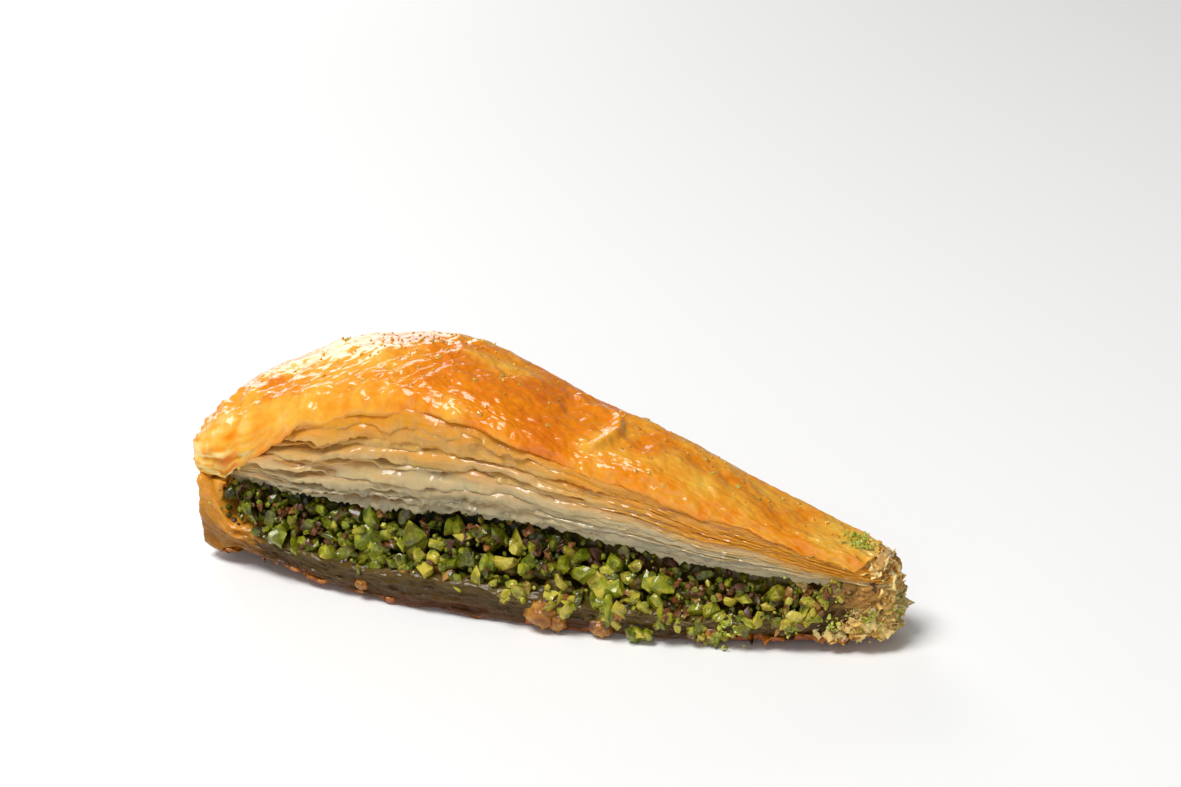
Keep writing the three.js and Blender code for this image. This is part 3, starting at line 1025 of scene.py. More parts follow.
def hanging_edge(path, number, thickness):
    """One bundle of sheets: it comes out of the stack, bends down over the next one and ends in a wavy edge.

    The section runs from its root inside, out and down its face to the lower edge, and back inside."""
    low, high, out, swell, pleat, ragged = HANGING_EDGES[number]
    seed = 300 + 10 * number
    s, u = path.s, path.u[:, None]
    line = s[:, None]
    pressed = (1 - 0.8 * ease(u, 0.42, 0.7)) * mix(0.2, 1, ease(u, 0.03, 0.1))
    stack = shoulder(u) - ceiling(u)
    thin = np.minimum(thickness, 0.05 * stack + 0.06)
    wave = 0.035 * along(s, 15.0, seed) + 0.02 * along(s, 5.0, seed + 1)
    tear = 0.4 * (high - low) * ease(along(s, 9.0, seed + 8, 3), 0.05, 0.6)
    low_share = low + wave + tear * (number > 0)
    high_share = high + 0.02 * along(s, 15.0, seed + 2)
    fringe = -ragged * np.abs(along(s, 1.6, seed + 3, 3)) * ease(stack[:, 0], 1.0, 6.0)
    t = np.linspace(0.06, 1, EDGE_POINTS)[None]
    share = shared_wave(line, mix(high_share[:, None], low_share[:, None], t))
    folds = over(line, t, 2.1, 1.3, seed + 4, 2) + 0.6 * over(line, t, 6.5, 2.0, seed + 5, 1)
    bulge = swell * (over(line, t, 11.0, 1.5, seed + 6, 2) + 0.5 * np.sin(np.pi * t))
    tuck = 1.8 if high > 1 else 0.7
    face = out + bulge + pleat * folds * t**0.7 - tuck * (1 - t) ** 2 + 0.2 * t**5
    fade = (ease(stack, 1.5, 8.0) * 0.75 + 0.25) * pressed
    crumple = ease(u, 0.935, 0.99)
    face = face + 2.2 * crumple * over(line, t, 2.0, 0.7, seed + 9, 3)
    tucked = 0.2 + 2.8 * ease(u, 0.19, 0.08) * mix(0.4, 1, t)
    offsets = stack_out(path, share) + (face_relief(path, share) + face) * fade - tucked
    heights = stack_height(u, share) + fringe[:, None] * t**3
    heights = heights + 0.5 * crumple * over(line, t, 1.7, 0.8, seed + 10, 3)
    root = np.full((len(s), 1), EDGE_ROOT)
    top = stack_height(u, high_share[:, None])
    near_root = offsets[:, :1] - 0.5
    back = [-1, EDGE_POINTS // 2]
    across = [root, near_root, offsets, offsets[:, back] - thin * 0.8, near_root - thin * 0.4, root]
    up = [top, top + 0.1, heights, heights[:, back] + (0.05, 0.0) - thin * (0, 0.3), top - thin, top - thin]
    rings = path.carry((0, 0, 0), np.concatenate(across, 1), np.concatenate(up, 1))
    ring_t = np.concatenate([[0, 0], t[0], [1, 0.5, 0, 0]])
    # Painted shade: depth is high at the bundle's root inside the stack and fades down its face; it is weaker
    # in the tip's half.
    depth = np.concatenate([[1.0, 0.6], 0.4 * (1 - t[0]) ** 2.2, [0.15, 0.5, 1, 1]])
    middle = mix(high_share[:, None], low_share[:, None], ring_t[None])
    tone = sheet_tone(u, middle + 0.09 * along(s, 11.0, seed + 7)[:, None])
    shade_strength = mix(1, 0.6, ease(u, 0.42, 0.65))
    return rings, {"tone": tone, "depth": depth[None] * shade_strength, "lines": 0.15}


def sheet_line(path, number, count, thickness):
    """One thin sheet whose edge just shows between the bundles, where the stack is pressed near the tip.

    Its section is a flat box from inside the stack to the edge and back."""
    seed = 700 + 10 * number
    s = path.s
    share = 0.1 + 0.84 * (number + 0.5) / count
    share = shared_wave(s, share + 0.03 * along(s, 14.0, seed) + 0.012 * along(s, 3.0, seed + 1))
    thin = thickness * (0.5 + 0.2 * along(s, 2.0, seed + 2))[:, None]
    reach = 0.05 + 0.35 * along(s, 6.0, seed + 3) + 0.15 * along(s, 1.5, seed + 4)
    reach = mix(-1.6, reach, ease(path.u, 0.38, 0.6))[:, None]
    row = share[:, None]
    edge = stack_out(path, row) + 0.5 * face_relief(path, row) + reach
    height = stack_height(path.u[:, None], row)
    inside = np.full_like(edge, LINE_ROOT)
    across = np.concatenate([inside, edge, edge, inside], 1)
    rise = (0.5 * thin, 0.4 * thin - 0.25, -0.5 * thin - 0.25, -thin)
    up = np.concatenate([height + step for step in rise], 1)
    rings = path.carry((0, 0, 0), across, up)
    tone = sheet_tone(path.u[:, None], row + 0.05)
    # Painted shade: the parts inside the stack get more of the gap colour than the sheet's edge.
    return rings, {"tone": tone, "depth": np.array([0.45, 0.05, 0.1, 0.4]), "lines": 0.2}


def core_sections(u, out, inset, low, high, bumps=0.0, seed=0):
    """Closed sections of a plain core: rounded boxes between two heights, `inset` inside a level's edge."""
    v = np.array([-1, -0.6, -0.2, 0.2, 0.6, 1, 1, 1, 0.6, 0.2, -0.2, -0.6, -1, -1])
    upper = np.array([0, 0, 0, 0, 0, 0.1, 0.5, 0.9, 1, 1, 1, 1, 0.9, 0.5])
    side = np.sign(v)[None]
    u = u[:, None]
    reach = (half_width(u, out, side) - inset) * rounded(u)
    if bumps:
        reach = reach + bumps * over(u * LENGTH, 9.0 * upper[None] + 40 * v[None], 3.0, 3.0, seed)
    y = centre_line(u) + v[None] * np.maximum(reach, 0.5)
    z = mix(low(u, v[None]), high(u, v[None]), upper[None])
    return np.stack(np.broadcast_arrays(RIM_END + u * LENGTH, y, z), -1)


class BAKLAVA_OT_top_sheets(bpy.types.Operator):
    """Stacks the sheets under the skin: a core, bundles that hang over one another, and single thin sheets"""

    bl_idname = "baklava.top_sheets"
    bl_label = "Top sheets"

    def execute(self, context):
        settings = context.scene.baklava.sheets
        material = sheets_finish(settings)
        thickness = settings.thickness / METRES
        path = CutEdge(EDGE_STEP, EDGE_START)
        edges = [hanging_edge(path, number, thickness) for number in range(len(HANGING_EDGES))]
        lines = [sheet_line(path, number, SHEET_LINES, thickness) for number in range(SHEET_LINES)]
        for name, parts in (
            ("pale_sheets", edges[:PALE_EDGES]),
            ("golden_sheets", edges[PALE_EDGES:]),
            ("thin_sheet_edges", lines),
        ):
            shapes = Shapes()
            for rings, values in parts:
                shapes.add_loft(rings, **values)
            shapes.finish(name, material, "browned_pastry")

        u = np.concatenate([np.linspace(2.6, 118, 70), np.linspace(118.4, LENGTH - 0.8, 40)]) / LENGTH

        def low(u, v):
            return lift(u) + ceiling(u) + 0.4

        def high(u, v):
            bare = ease(u, 0.92, 0.96)
            crumpled = 0.7 * over(u * LENGTH, 6 * v, 1.6, 1.6, 821, 3)
            return lift(u) + mix(shoulder(u), crest(u), crown(v)) - mix(1.4, 0.1 + crumpled, bare)

        sections = core_sections(u, SKIN_OUT, mix(1.6, 0.3, ease(u, 0.93, 0.97))[:, None], low, high)
        # The core is painted shade: mostly the gap colour, except where it lies bare at the tip.
        bare = ease(u, 0.9, 0.95)[::-1, None]
        tone, depth = mix(0.8, 0.5, bare), mix(0.85, 0.1, bare)
        core = Shapes().add_loft(sections[::-1], tone=tone, depth=depth, lines=0.0)
        piece = core.finish("top_core", material, "browned_pastry")
        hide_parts("top_sheets")
        return {"FINISHED"}


# ---- The nuts ----


def chopped_shape(rng, length):
    """A chopped nut about 1 across: a ball drawn out, roughened, and cut flat by a few planes.

    The cuts show the flesh, and what is left of the ball's own surface keeps the brown skin: the third result
    says where."""
    points, triangles = ball(1)
    points = points * (length, rng.uniform(0.65, 0.95), rng.uniform(0.55, 0.85))
    rough = 1 + 0.24 * noise(points * 1.9 + rng.uniform(0, 50, 3), 5)
    points = points * rough[:, None]
    cut = np.zeros(len(points))
    for _ in range(rng.integers(4, 8)):
        plane = rng.normal(size=3)
        plane /= np.linalg.norm(plane)
        reach = (points @ plane).max()
        over_plane = np.maximum(points @ plane - rng.uniform(0.3, 0.8) * reach, 0)
        points = points - over_plane[:, None] * plane
        cut = np.maximum(cut, over_plane > 0)
    points = points + 0.025 * rng.normal(size=points.shape)
    return points * 0.6, triangles, 1 - cut


def flake_shape(rng):
    """A loose flake about 1 across: a crumpled sheet with a ragged outline and a thin wall, broad side up."""
    side = np.linspace(-0.5, 0.5, 5)
    x, y = np.meshgrid(side, side, indexing="ij")
    z = rng.uniform(0.2, 0.8) * (x**2 - 0.1) + rng.uniform(-0.8, 0.8) * x * y + rng.normal(0, 0.06, x.shape)
    ragged = 1 + rng.uniform(-0.35, 0.2, x.shape)
    upper = np.stack([x * ragged, y * ragged * rng.uniform(0.5, 1.0), z], -1)
    lower = upper - (0, 0, 0.05)
    ring = np.concatenate([upper, lower[:, ::-1]], 1)
    quads, triangles = loft(ring)
    points = with_fans(ring)
    split = np.concatenate([quads[:, [0, 1, 2]], quads[:, [0, 2, 3]], triangles])
    return points, split


def grain_shape(rng):
    """A crumb about 1 in radius: a ball of 20 triangles whose points are pulled in and out."""
    points, triangles = ball(0)
    return points * rng.uniform(0.55, 1.25, (len(points), 1)), triangles


def spread(count, width, height, rng, rounds=24):
    """Points spread evenly over a rectangle: at each round every point moves away from those near it."""
    points = rng.uniform((0, 0), (width, height), (count, 2))
    near = 1.2 * math.sqrt(width * height / count)
    for _ in range(rounds):
        gap = points[:, None] - points[None]
        distance = np.linalg.norm(gap, axis=-1)
        np.fill_diagonal(distance, 1e9)
        push = np.clip(1 - distance / near, 0, 1)[..., None] * gap / np.maximum(distance, 1e-6)[..., None]
        points = np.clip(points + 0.4 * near * push.sum(1) * 0.3, (0, 0), (width, height))
    return points


def bed_places(path, s, t, offset):
    """Points on the sloping face of the nuts' bed, at length s, share t of its height and an offset outwards.

    Also gives their shares of the length, and the bed's height there."""
    xy, normal, u, side = path.at(s)
    low = floor_of_bed(u)
    reach = mix(stands_out(u, NUTS_FOOT_OUT, side), stands_out(u, NUTS_HEAD_OUT, side), t) + offset
    height = lift(u) + mix(low, ceiling(u), t)
    return np.concatenate([xy + normal * reach[:, None], height[:, None]], -1), u, ceiling(u) - low


# Clusters of spilled nuts: share of the length, share of the base's height, and how many nuts.
NUT_CLUSTERS = [
    (0.3, 1.0, 3),
    (0.42, 1.0, 4),
    (0.52, 1.0, 6),
    (0.6, 0.95, 12),
    (0.655, 0.75, 13),
    (0.7, 0.35, 8),
    (0.735, 0.95, 10),
    (0.775, 0.7, 14),
    (0.79, 0.35, 10),
    (0.83, 0.85, 10),
    (0.88, 0.8, 8),
    (0.905, 0.95, 12),
    (0.92, 0.8, 12),
    (0.93, 1.05, 12),
    (0.945, 0.75, 10),
]

NUT_KINDS = 24
BED_FACE = 10.5
NUT_GRAINS = 1500
PASTE_LUMPS = 50
SKIN_FLAKES = 60


class BAKLAVA_OT_chopped_nuts(bpy.types.Operator):
    """Fills the bed with chopped pistachios: green pieces, bits of skin, crumbs, and the paste behind, dark
    with painted shade
    """

    bl_idname = "baklava.chopped_nuts"
    bl_label = "Chopped nuts"

    def layer(self, rng, path, count, depth, shade):
        """One layer of nuts over the bed's face, at a depth: places, shares along and up, and hues with
        painted shade.
        """
        start, end = 4.0, path.length - 4.0
        at = spread(count, end - start, BED_FACE, rng)
        s, t = at[:, 0] + start, at[:, 1] / BED_FACE
        recess = -3.4 * ease(t, 0.6, 0.95) - depth + rng.normal(0, 0.5, count)
        centres, u, room = bed_places(path, s, mix(0.03, 0.93, t), recess)
        open_bed = room > mix(9.0, 3.5, t) * (1 - 0.6 * ease(u, 0.4, 0.7) - 0.36 * ease(u, 0.84, 0.92))
        # Each layer's hue starts from its last argument, a painted lightness: deeper layers are darker, as
        # painted shade.
        return centres[open_bed], u[open_bed], t[open_bed], shade + rng.normal(0, 0.25, open_bed.sum())

    def spilled(self, rng):
        """Nuts that slid down over the base's face, in clusters: most of them in front, past the middle."""
        centres = []
        for share, height, count in NUT_CLUSTERS:
            u = share + rng.normal(0, 0.011, count)
            t = height + rng.normal(0, 0.16, count)
            front = half_width(u, BASE_OUT, -1) * rounded(u) - FOOT_TUCK * np.maximum(1 - t, 0) ** 1.5 * 0.5
            out = rng.normal(-0.3, 0.4, count) - 6 * np.maximum(t - 1, 0)
            z = lift(u) + np.maximum(1.2, np.minimum(t, 1.03) * floor_of_bed(u))
            centres.append(np.stack([RIM_END + u * LENGTH, centre_line(u) - front - out, z], -1))
        centres = np.concatenate(centres)
        u = (centres[:, 0] - RIM_END) / LENGTH
        return centres, u, np.zeros(len(u)), rng.normal(0.55, 0.2, len(u))

    def add_nuts(self, rng, path, settings, green, husks):
        """Adds chopped nuts in three layers and the spilled ones; some are bits of brown skin alone."""
        smallest, largest = settings.smallest / METRES, settings.largest / METRES
        kinds = [chopped_shape(rng, length) for length in np.linspace(1.0, 1.6, NUT_KINDS)]
        third = settings.count // 3
        # The last number of each layer is its painted lightness: lower for the deeper layers, as painted
        # shade.
        layers = [
            self.layer(rng, path, third, -0.3, 0.46),
            self.layer(rng, path, third, 1.0, 0.3),
            self.layer(rng, path, settings.count - 2 * third, 2.4, 0.2),
            self.spilled(rng),
        ]
        centres, u, t, hue = (np.concatenate(part) for part in zip(*layers))
        count = len(centres)
        size = mix(smallest, largest, rng.beta(1.4, 2.1, count)) * mix(1.0, 0.8, ease(u, 0.6, 0.9))
        size[-len(layers[-1][0]) :] *= 0.8
        centres[:, 1] = np.maximum(centres[:, 1], CAD_BOX[0].y / METRES - 1.0 + 0.8 * size)
        sizes = size[:, None] * rng.uniform(0.85, 1.15, (count, 3))
        rotation = turns(rng, count)
        brown = rng.uniform(size=count) < 0.08 + 0.06 * ease(u, 0.25, 0.12) + 0.14 * ease(u, 0.45, 0.7)
        skin = rng.uniform(0.0, 1.0, count) ** 1.3 * mix(1.1, 1.4, ease(u, 0.45, 0.75))
        # Painted shade darkens the nuts high in the bed, under the overhanging sheets; the nuts near the rim
        # end are also darker.
        hue = hue - 0.7 * ease(t, 0.5, 0.85) - 0.15 * ease(u, 0.22, 0.1)
        hue = np.clip(hue + 0.08 + 0.14 * ease(u, 0.3, 0.5) - 0.06 * ease(u, 0.55, 0.8), 0, 1)
        kind = rng.integers(0, len(kinds), count)
        for number, (shape, triangles, husk) in enumerate(kinds):
            for shapes, own, scale in ((green, ~brown, 1.0), (husks, brown, 0.75)):
                own = own & (kind == number)
                shapes.add_copies(
                    shape,
                    triangles,
                    centres[own],
                    rotation[own],
                    sizes[own] * scale,
                    hue=hue[own, None] + 0.1 * (1 - husk),
                    skin=skin[own, None] * (0.2 + 0.8 * husk),
                )

    def add_grains(self, rng, path, green, husks):
        """Adds small grains between the nuts, a quarter of them brown."""
        s, t = rng.uniform(3.5, path.length - 3.5, NUT_GRAINS), rng.uniform(0.0, 0.85, NUT_GRAINS)
        recess = -2.6 * ease(t, 0.55, 0.85) + rng.normal(-0.3, 0.6, NUT_GRAINS)
        centres, u, room = bed_places(path, s, t, recess)
        centres = centres[room > mix(6.0, 2.0, t) * (1 - 0.7 * ease(u, 0.4, 0.7))]
        count = len(centres)
        sizes = rng.uniform(0.25, 0.75, count)[:, None] * rng.uniform(0.6, 1.4, (count, 3))
        hue = np.clip(rng.normal(0.45, 0.22, count), 0, 1)[:, None]
        brown = rng.uniform(size=count) < 0.25
        rotation = turns(rng, count)
        for shapes, own, skin in ((green, ~brown, 0.15), (husks, brown, 0.0)):
            shapes.add_copies(*ball(0), centres[own], rotation[own], sizes[own], hue=hue[own], skin=skin)

    def add_skin_flakes(self, rng, path, husks):
        """Adds loose flakes of the nuts' skins, spread along the bed's face."""
        at = spread(SKIN_FLAKES, path.length - 12.0, 1.0, rng)
        t = mix(0.15, 0.8, rng.uniform(size=SKIN_FLAKES))
        centres, _, _ = bed_places(path, at[:, 0] + 6.0, t, 0.6 - at[:, 1])
        for centre in centres:
            shape, triangles = flake_shape(rng)
            size = np.full((1, 3), rng.uniform(1.6, 3.4)) * (1, 1, 1.4)
            tone = rng.uniform(0.35, 1.0)
            husks.add_copies(shape, triangles, centre[None], turns(rng, 1), size, hue=tone, skin=0.0)

    def paste(self, rng, path):
        """The bed's core, a plain box behind the nuts, with lumps of ground nut on its front side."""

        def low(u, v):
            return lift(u) + floor_of_bed(u) - 0.6

        def high(u, v):
            return lift(u) + ceiling(u) + 0.6

        u = np.linspace(0.035, 0.95, 220)
        inset = mix(1.8, 0.2, ease(u, 0.55, 0.9))[:, None]
        sections = core_sections(u, NUTS_HEAD_OUT, inset, low, high, bumps=0.8, seed=7)
        core = Shapes().add_loft(sections[::-1], wet=ease(u, 0.4, 0.8)[::-1, None])
        shape, triangles = ball(2)
        front = slice(0, len(path.s) // 2)
        for number in range(PASTE_LUMPS):
            x = RIM_END + rng.uniform(0.46, 0.95) * LENGTH
            t = rng.uniform(-0.22, 0.4)
            s = np.interp(x, path.xy[front, 0], path.s[front])
            centre, _, _ = bed_places(path, np.array([s]), np.array([t]), -1.3)
            centre[:, 2] = np.maximum(centre[:, 2], 1.6)
            rough = 1 + 0.3 * layered_noise(shape * 1.7 + 7 * number, 620, 3)
            radius = rng.uniform(0.8, 1.7) * np.array([1.4, 0.8, 0.8])
            core.add(shape * rough[:, None] * radius + centre, None, triangles, wet=rng.uniform(0.3, 1.0))
        return core

    def execute(self, context):
        settings = context.scene.baklava.nuts
        rng = np.random.default_rng(20)
        path = CutEdge(0.5)
        green, husks = Shapes(), Shapes()
        self.add_nuts(rng, path, settings, green, husks)
        self.add_grains(rng, path, green, husks)
        self.add_skin_flakes(rng, path, husks)
        green.finish("green_nuts", nuts_finish(settings), "chopped_pistachio", sharp=math.radians(38))
        husks.finish("nut_skins", husk_finish(), "chopped_pistachio", sharp=math.radians(28))
        piece = self.paste(rng, path).finish("nut_paste", paste_finish(), "chopped_pistachio")
        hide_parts("pistachio_filling")
        return {"FINISHED"}


# ---- The soaked base ----

BASE_START = 3.9
BASE_STEP = 0.32
WALL_POINTS = 46
TOP_POINTS = 8


def base_wall(u, side, t, layers, groove):
    """Distance from the centre line to the soaked base's cut face: rounded layers whose lines waver."""
    x = u * LENGTH
    reach = half_width(u, BASE_OUT, side) - FOOT_TUCK * (1 - t) ** 1.5
    course = t + 0.03 * over(x, 6 * t + 5 * side, 9.0, 1.0, 401)
    course = course + 0.02 * over(x, 12 * t + 9 * side, 2.4, 1.0, 402)
    line = np.abs(np.sin(np.pi * layers * course)) ** 0.5
    strength = 0.5 + 0.5 * over(x, 5 * t + 7 * side, 8.0, 1.0, 403)
    rough = 0.6 * over(x, 6 * t + 3 * side, 7.0, 2.0, 404) + 0.2 * over(x, 9 * t + side, 1.6, 0.8, 405, 3)
    rough = rough + 0.8 * ease(u, 0.9, 0.96) * over(x, 9 * t + side, 1.1, 0.6, 406, 3)
    return (reach + rough - groove * (1 - line) * strength - 0.5 * ease(t, 0.9, 1.0)) * rounded(u)


class BAKLAVA_OT_soaked_base(bpy.types.Operator):
    """Lays the syrup-soaked sheets under the nuts, with their wavering cut lines"""

    bl_idname = "baklava.soaked_base"
    bl_label = "Soaked base"

    def execute(self, context):
        settings = context.scene.baklava.soaked
        u = np.linspace(BASE_START, LENGTH - 0.5, int(LENGTH / BASE_STEP))[:, None] / LENGTH
        t = np.linspace(0, 1, WALL_POINTS)[None]
        groove = settings.groove / METRES
        walls = {side: base_wall(u, side, t, settings.layers, groove) for side in (-1, 1)}
        v = np.linspace(1, -1, TOP_POINTS + 2)[None, 1:-1]
        inner = np.where(v > 0, walls[1][:, -1:], walls[-1][:, -1:])
        y = centre_line(u) + np.concatenate([walls[1], v * inner, -walls[-1][:, ::-1]], 1)
        share = np.concatenate([t, np.ones_like(v), t[:, ::-1]], 1)
        low = 0.7 - bead(u)
        dip = 0.25 * over(u * LENGTH, y, 4.0, 4.0, 411)
        z = lift(u) + mix(low, floor_of_bed(u) + 0.2, share) + dip * share
        rings = np.stack(np.broadcast_arrays(RIM_END + u * LENGTH, y, z), -1)
        tone = 0.12 + 0.75 * share + 0.12 * over(u * LENGTH, 4 * share, 12.0, 1.0, 412)
        ragged = u + 0.02 * over(u * LENGTH, 5 * share, 3.0, 1.0, 413)
        rim = ease(ragged, 0.15, 0.09) * (0.35 + 0.65 * ease(share, 0.3, 0.85))
        tip = ease(ragged, 0.935, 0.985)
        shapes = Shapes().add_loft(rings, tone=np.clip(tone, 0, 1), rim=rim, tip=tip)
        piece = shapes.finish("soaked_sheets", soaked_finish(settings), "soaked_pastry")
        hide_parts("bottom_sheets")
        return {"FINISHED"}


CRUST_COLUMNS = 70
CRUST_INNER_COLUMNS = 22
CRUST_ROWS_ON_WALL = 66
CRUST_STEP = 0.4
CRUST_ROUNDING = 2.6
CRUST_SQUARENESS = 2.4
CRUST_CROWDING = 0.94
CRUST_SETBACK = 0.6


class BAKLAVA_OT_bottom_crust(bpy.types.Operator):
    """Wraps the browned crust round the rim end, from the notch down and on under the base"""

    bl_idname = "baklava.bottom_crust"
    bl_label = "Bottom crust"

    def execute(self, context):
        b, start, end = outline(CRUST_COLUMNS, CRUST_CROWDING, CRUST_SETBACK)
        theta = np.linspace(0, np.pi, CRUST_ROWS_ON_WALL)
        power = 2 / CRUST_SQUARENESS
        fall = (1 - np.sign(np.cos(theta)) * np.abs(np.cos(theta)) ** power) / 2
        wall_run = CRUST_ROUNDING * (1 - np.sin(theta) ** power)
        wall_run[: len(theta) // 4] *= 0.6
        steps = int(LENGTH / CRUST_STEP)
        share = np.linspace(0, 1, steps + 1)[1:, None]
        under_run = mix(CRUST_ROUNDING, (end - start)[None], share)
        run = np.concatenate([wall_run[:, None] + 0 * b[None], under_run])
        fall = np.concatenate([fall, np.ones(steps)])[:, None]
        x = start[None] + run
        u = x / LENGTH
        side = np.where(b < 0, -1.0, 1.0)[None]
        tuck = FOOT_TUCK * ease(fall, 0.2, 1.0)
        ragged = 0.7 * along(x, 6.0, 501) + 0.14 * along(x, 1.6, 502) - 0.1
        edge = ease(np.abs(b), 0.86, 1.0)[None]
        y = centre_line(u) + b[None] * (half_width(u, BASE_OUT, side) - tuck + (edge * ragged + 0.15) * fall)
        high = ceiling(u) - 0.5
        low = 0.12 - bead(u)
        z = lift(u) + mix(high, low, fall) + edge * 0.5 * ease(fall, 0.9, 1.0) * (1 + along(x, 4.0, 503))
        sunk = np.where(run < CRUST_ROUNDING, edge * (1 - ease(fall, 0.85, 1.0)), 0.0)
        grid = np.stack(np.broadcast_arrays(RIM_END + 1.0 + x + 2.4 * sunk, y - 0.9 * side * sunk, z), -1)
        normals = -grid_normals(grid)
        down = x + 8 * fall
        swell = 0.3 * over(down, y, 6.0, 5.0, 504) + 0.2 * bubbles(down, y, 3.2, 505, 0.5) * (1 - fall)
        ripple = 0.12 * over(x, y, 1.3, 1.3, 506, 3)
        grid = grid + normals * np.where(fall < 1, swell + ripple, 0.3 * ripple)[..., None]
        grid[..., 2] = np.maximum(grid[..., 2], 0.0)
        inside = grid - normals * (0.9 + 0.3 * over(x, y, 4.0, 4.0, 507))[..., None]
        browning = 0.34 + 0.38 * ease(fall, 0.6, 1.0) + 0.15 * over(x, y, 9.0, 6.0, 508, 3)
        browning = np.clip(browning - 0.12 * ease(u, 0.1, 0.3) + 0.16 * ease(fall, 0.25, 0.6), 0, 1)
        browning = shell(browning, np.full_like(browning, 0.5), CRUST_INNER_COLUMNS)
        shapes = Shapes().add_loft(shell(grid, inside, CRUST_INNER_COLUMNS), browning=browning)
        browns = (rgb(234, 180, 78), rgb(222, 142, 30), rgb(158, 80, 10), rgb(72, 32, 6))
        material = crust_finish("bottom crust", (0.0, 0.35, 0.62, 1.0), browns)
        shapes.finish("bottom_crust", material, "soaked_pastry")
        return {"FINISHED"}


# ---- Drops, dust, lumps and flakes ----


def skin_places(u, b):
    """Points on the smooth top at shares u of the length and b across, and the normals there."""
    side = np.where(b < 0, -1.0, 1.0)

    def point(u, b):
        edge = shoulder(u)
        z = lift(u) + edge + (crest(u) - edge) * crown(b)
        y = centre_line(u) + b * half_width(u, SKIN_OUT, side)
        return np.stack([RIM_END + SKIN_SHIFT + u * LENGTH, y, z], -1)

    place = point(u, b)
    normal = np.cross(point(u + 0.005, b) - place, point(u, b + 0.01) - place)
    return place, normal / np.linalg.norm(normal, axis=1, keepdims=True)


def on_skin(context, u, b, above):
    """Points a little above the skin's relief, at shares u of the length and b across, and the normals."""
    places, normals = skin_places(u, b)
    blisters = context.scene.baklava.skin.blisters / METRES
    relief = skin_relief(u * LENGTH + SKIN_SHIFT, places[:, 1], u, b, blisters)
    return places + normals * (relief + above)[:, None], normals


def facing(normals):
    """Rotation matrices that turn +Z to each normal."""
    side = np.cross(normals, (0.3, 0.9, 0.1))
    side /= np.linalg.norm(side, axis=1, keepdims=True)
    return np.stack([side, np.cross(normals, side), normals], -1)


class BAKLAVA_OT_syrup_drops(bpy.types.Operator):
    """Scatters drops of syrup over the skin"""

    bl_idname = "baklava.syrup_drops"
    bl_label = "Syrup drops"

    def execute(self, context):
        settings = context.scene.baklava.topping
        rng = np.random.default_rng(31)
        count = settings.drops
        u = rng.uniform(0.06, 0.97, count)
        b = rng.uniform(-0.95, 0.9, count)
        places, normals = on_skin(context, u, b, 0.0)
        radius = rng.gamma(2.0, 0.11, count) + 0.12
        sizes = np.stack([radius, radius * rng.uniform(0.7, 1.3, count), radius * 0.3], -1)
        shapes = Shapes().add_copies(*ball(1), places, facing(normals), sizes)
        shapes.finish("syrup_drops", syrup_finish(settings.syrup), "browned_pastry")
        return {"FINISHED"}


# Dust: grains in a patch on the skin near the rim end and in one on the rim's edge, with the latter's middle
# and spread, clusters on the tip's cut side, and how many shapes a grain can have.
RIM_SPECKS = 5
EDGE_SPECKS = 7
EDGE_SPECKS_AT = (-58.2, -17.9, 12.4)
EDGE_SPECKS_SPREAD = (0.4, 0.25, 0.3)
DUST_CLUSTERS = 13
DUST_KINDS = 8


class BAKLAVA_OT_pistachio_dust(bpy.types.Operator):
    """Sprinkles ground pistachio: clusters on the tip and its cut side, and single grains on the skin"""

    bl_idname = "baklava.pistachio_dust"
    bl_label = "Pistachio dust"

    def execute(self, context):
        rng = np.random.default_rng(41)
        count = context.scene.baklava.topping.dust
        on_top = count // 5
        loose = on_top // 10
        patch = on_top - loose
        u = [rng.normal(0.945, 0.011, patch), rng.uniform(0.15, 0.95, loose)]
        u.append(rng.normal(0.17, 0.004, RIM_SPECKS))
        b = [rng.normal(0.1, 0.24, patch), rng.uniform(-0.8, 0.9, loose)]
        b.append(rng.normal(0.3, 0.03, RIM_SPECKS))
        u, b = np.clip(np.concatenate(u), 0.05, 0.985), np.clip(np.concatenate(b), -0.95, 0.95)
        places = [on_skin(context, u, b, 0.1)[0]]

        path = CutEdge(0.5)
        middle_s = path.length / 2 - rng.gamma(1.6, 5.5, DUST_CLUSTERS) + 3
        middle_share = rng.uniform(0.1, 0.95, DUST_CLUSTERS)
        which = rng.integers(0, DUST_CLUSTERS, count - on_top)
        wide = np.where(rng.uniform(size=len(which)) < 0.2, 4, 1)
        s = middle_s[which] + rng.normal(0, 0.7, len(which)) * wide
        share = np.clip(middle_share[which] + rng.normal(0, 0.07, len(which)) * wide, 0.02, 1)
        xy, normal, where, side = path.at(s)
        reach = mix(stands_out(where, BASE_OUT, side), stands_out(where, NUTS_FOOT_OUT, side), share)
        reach = reach + rng.normal(0.4, 0.3, len(which)) - 1.5 * (1 - ease(where, 0.85, 0.93)) * share
        reach = reach - 2.5 * ease(share, 0.55, 1.0) * ease(where, 0.93, 0.97)
        height = lift(where) + share * ceiling(where)
        places.append(np.concatenate([xy + normal * reach[:, None], height[:, None]], -1))
        places.append(rng.normal(EDGE_SPECKS_AT, EDGE_SPECKS_SPREAD, (EDGE_SPECKS, 3)))
        places = np.concatenate(places)
        places[:, 2] = np.maximum(places[:, 2], 0.5)
        sizes = (0.14 + 0.42 * rng.beta(1.2, 2.4, len(places)))[:, None]
        sizes = sizes * rng.uniform(0.7, 1.4, (len(places), 3))
        hue = np.clip(rng.normal(0.85, 0.26, len(places)), 0, 1)
        shapes = Shapes()
        rotation = turns(rng, len(places))
        kind = rng.integers(0, DUST_KINDS, len(places))
        for number in range(DUST_KINDS):
            own = kind == number
            shapes.add_copies(*grain_shape(rng), places[own], rotation[own], sizes[own], hue=hue[own, None])
        shapes.finish("pistachio_dust", dust_finish(), "chopped_pistachio", sharp=math.radians(35))
        return {"FINISHED"}


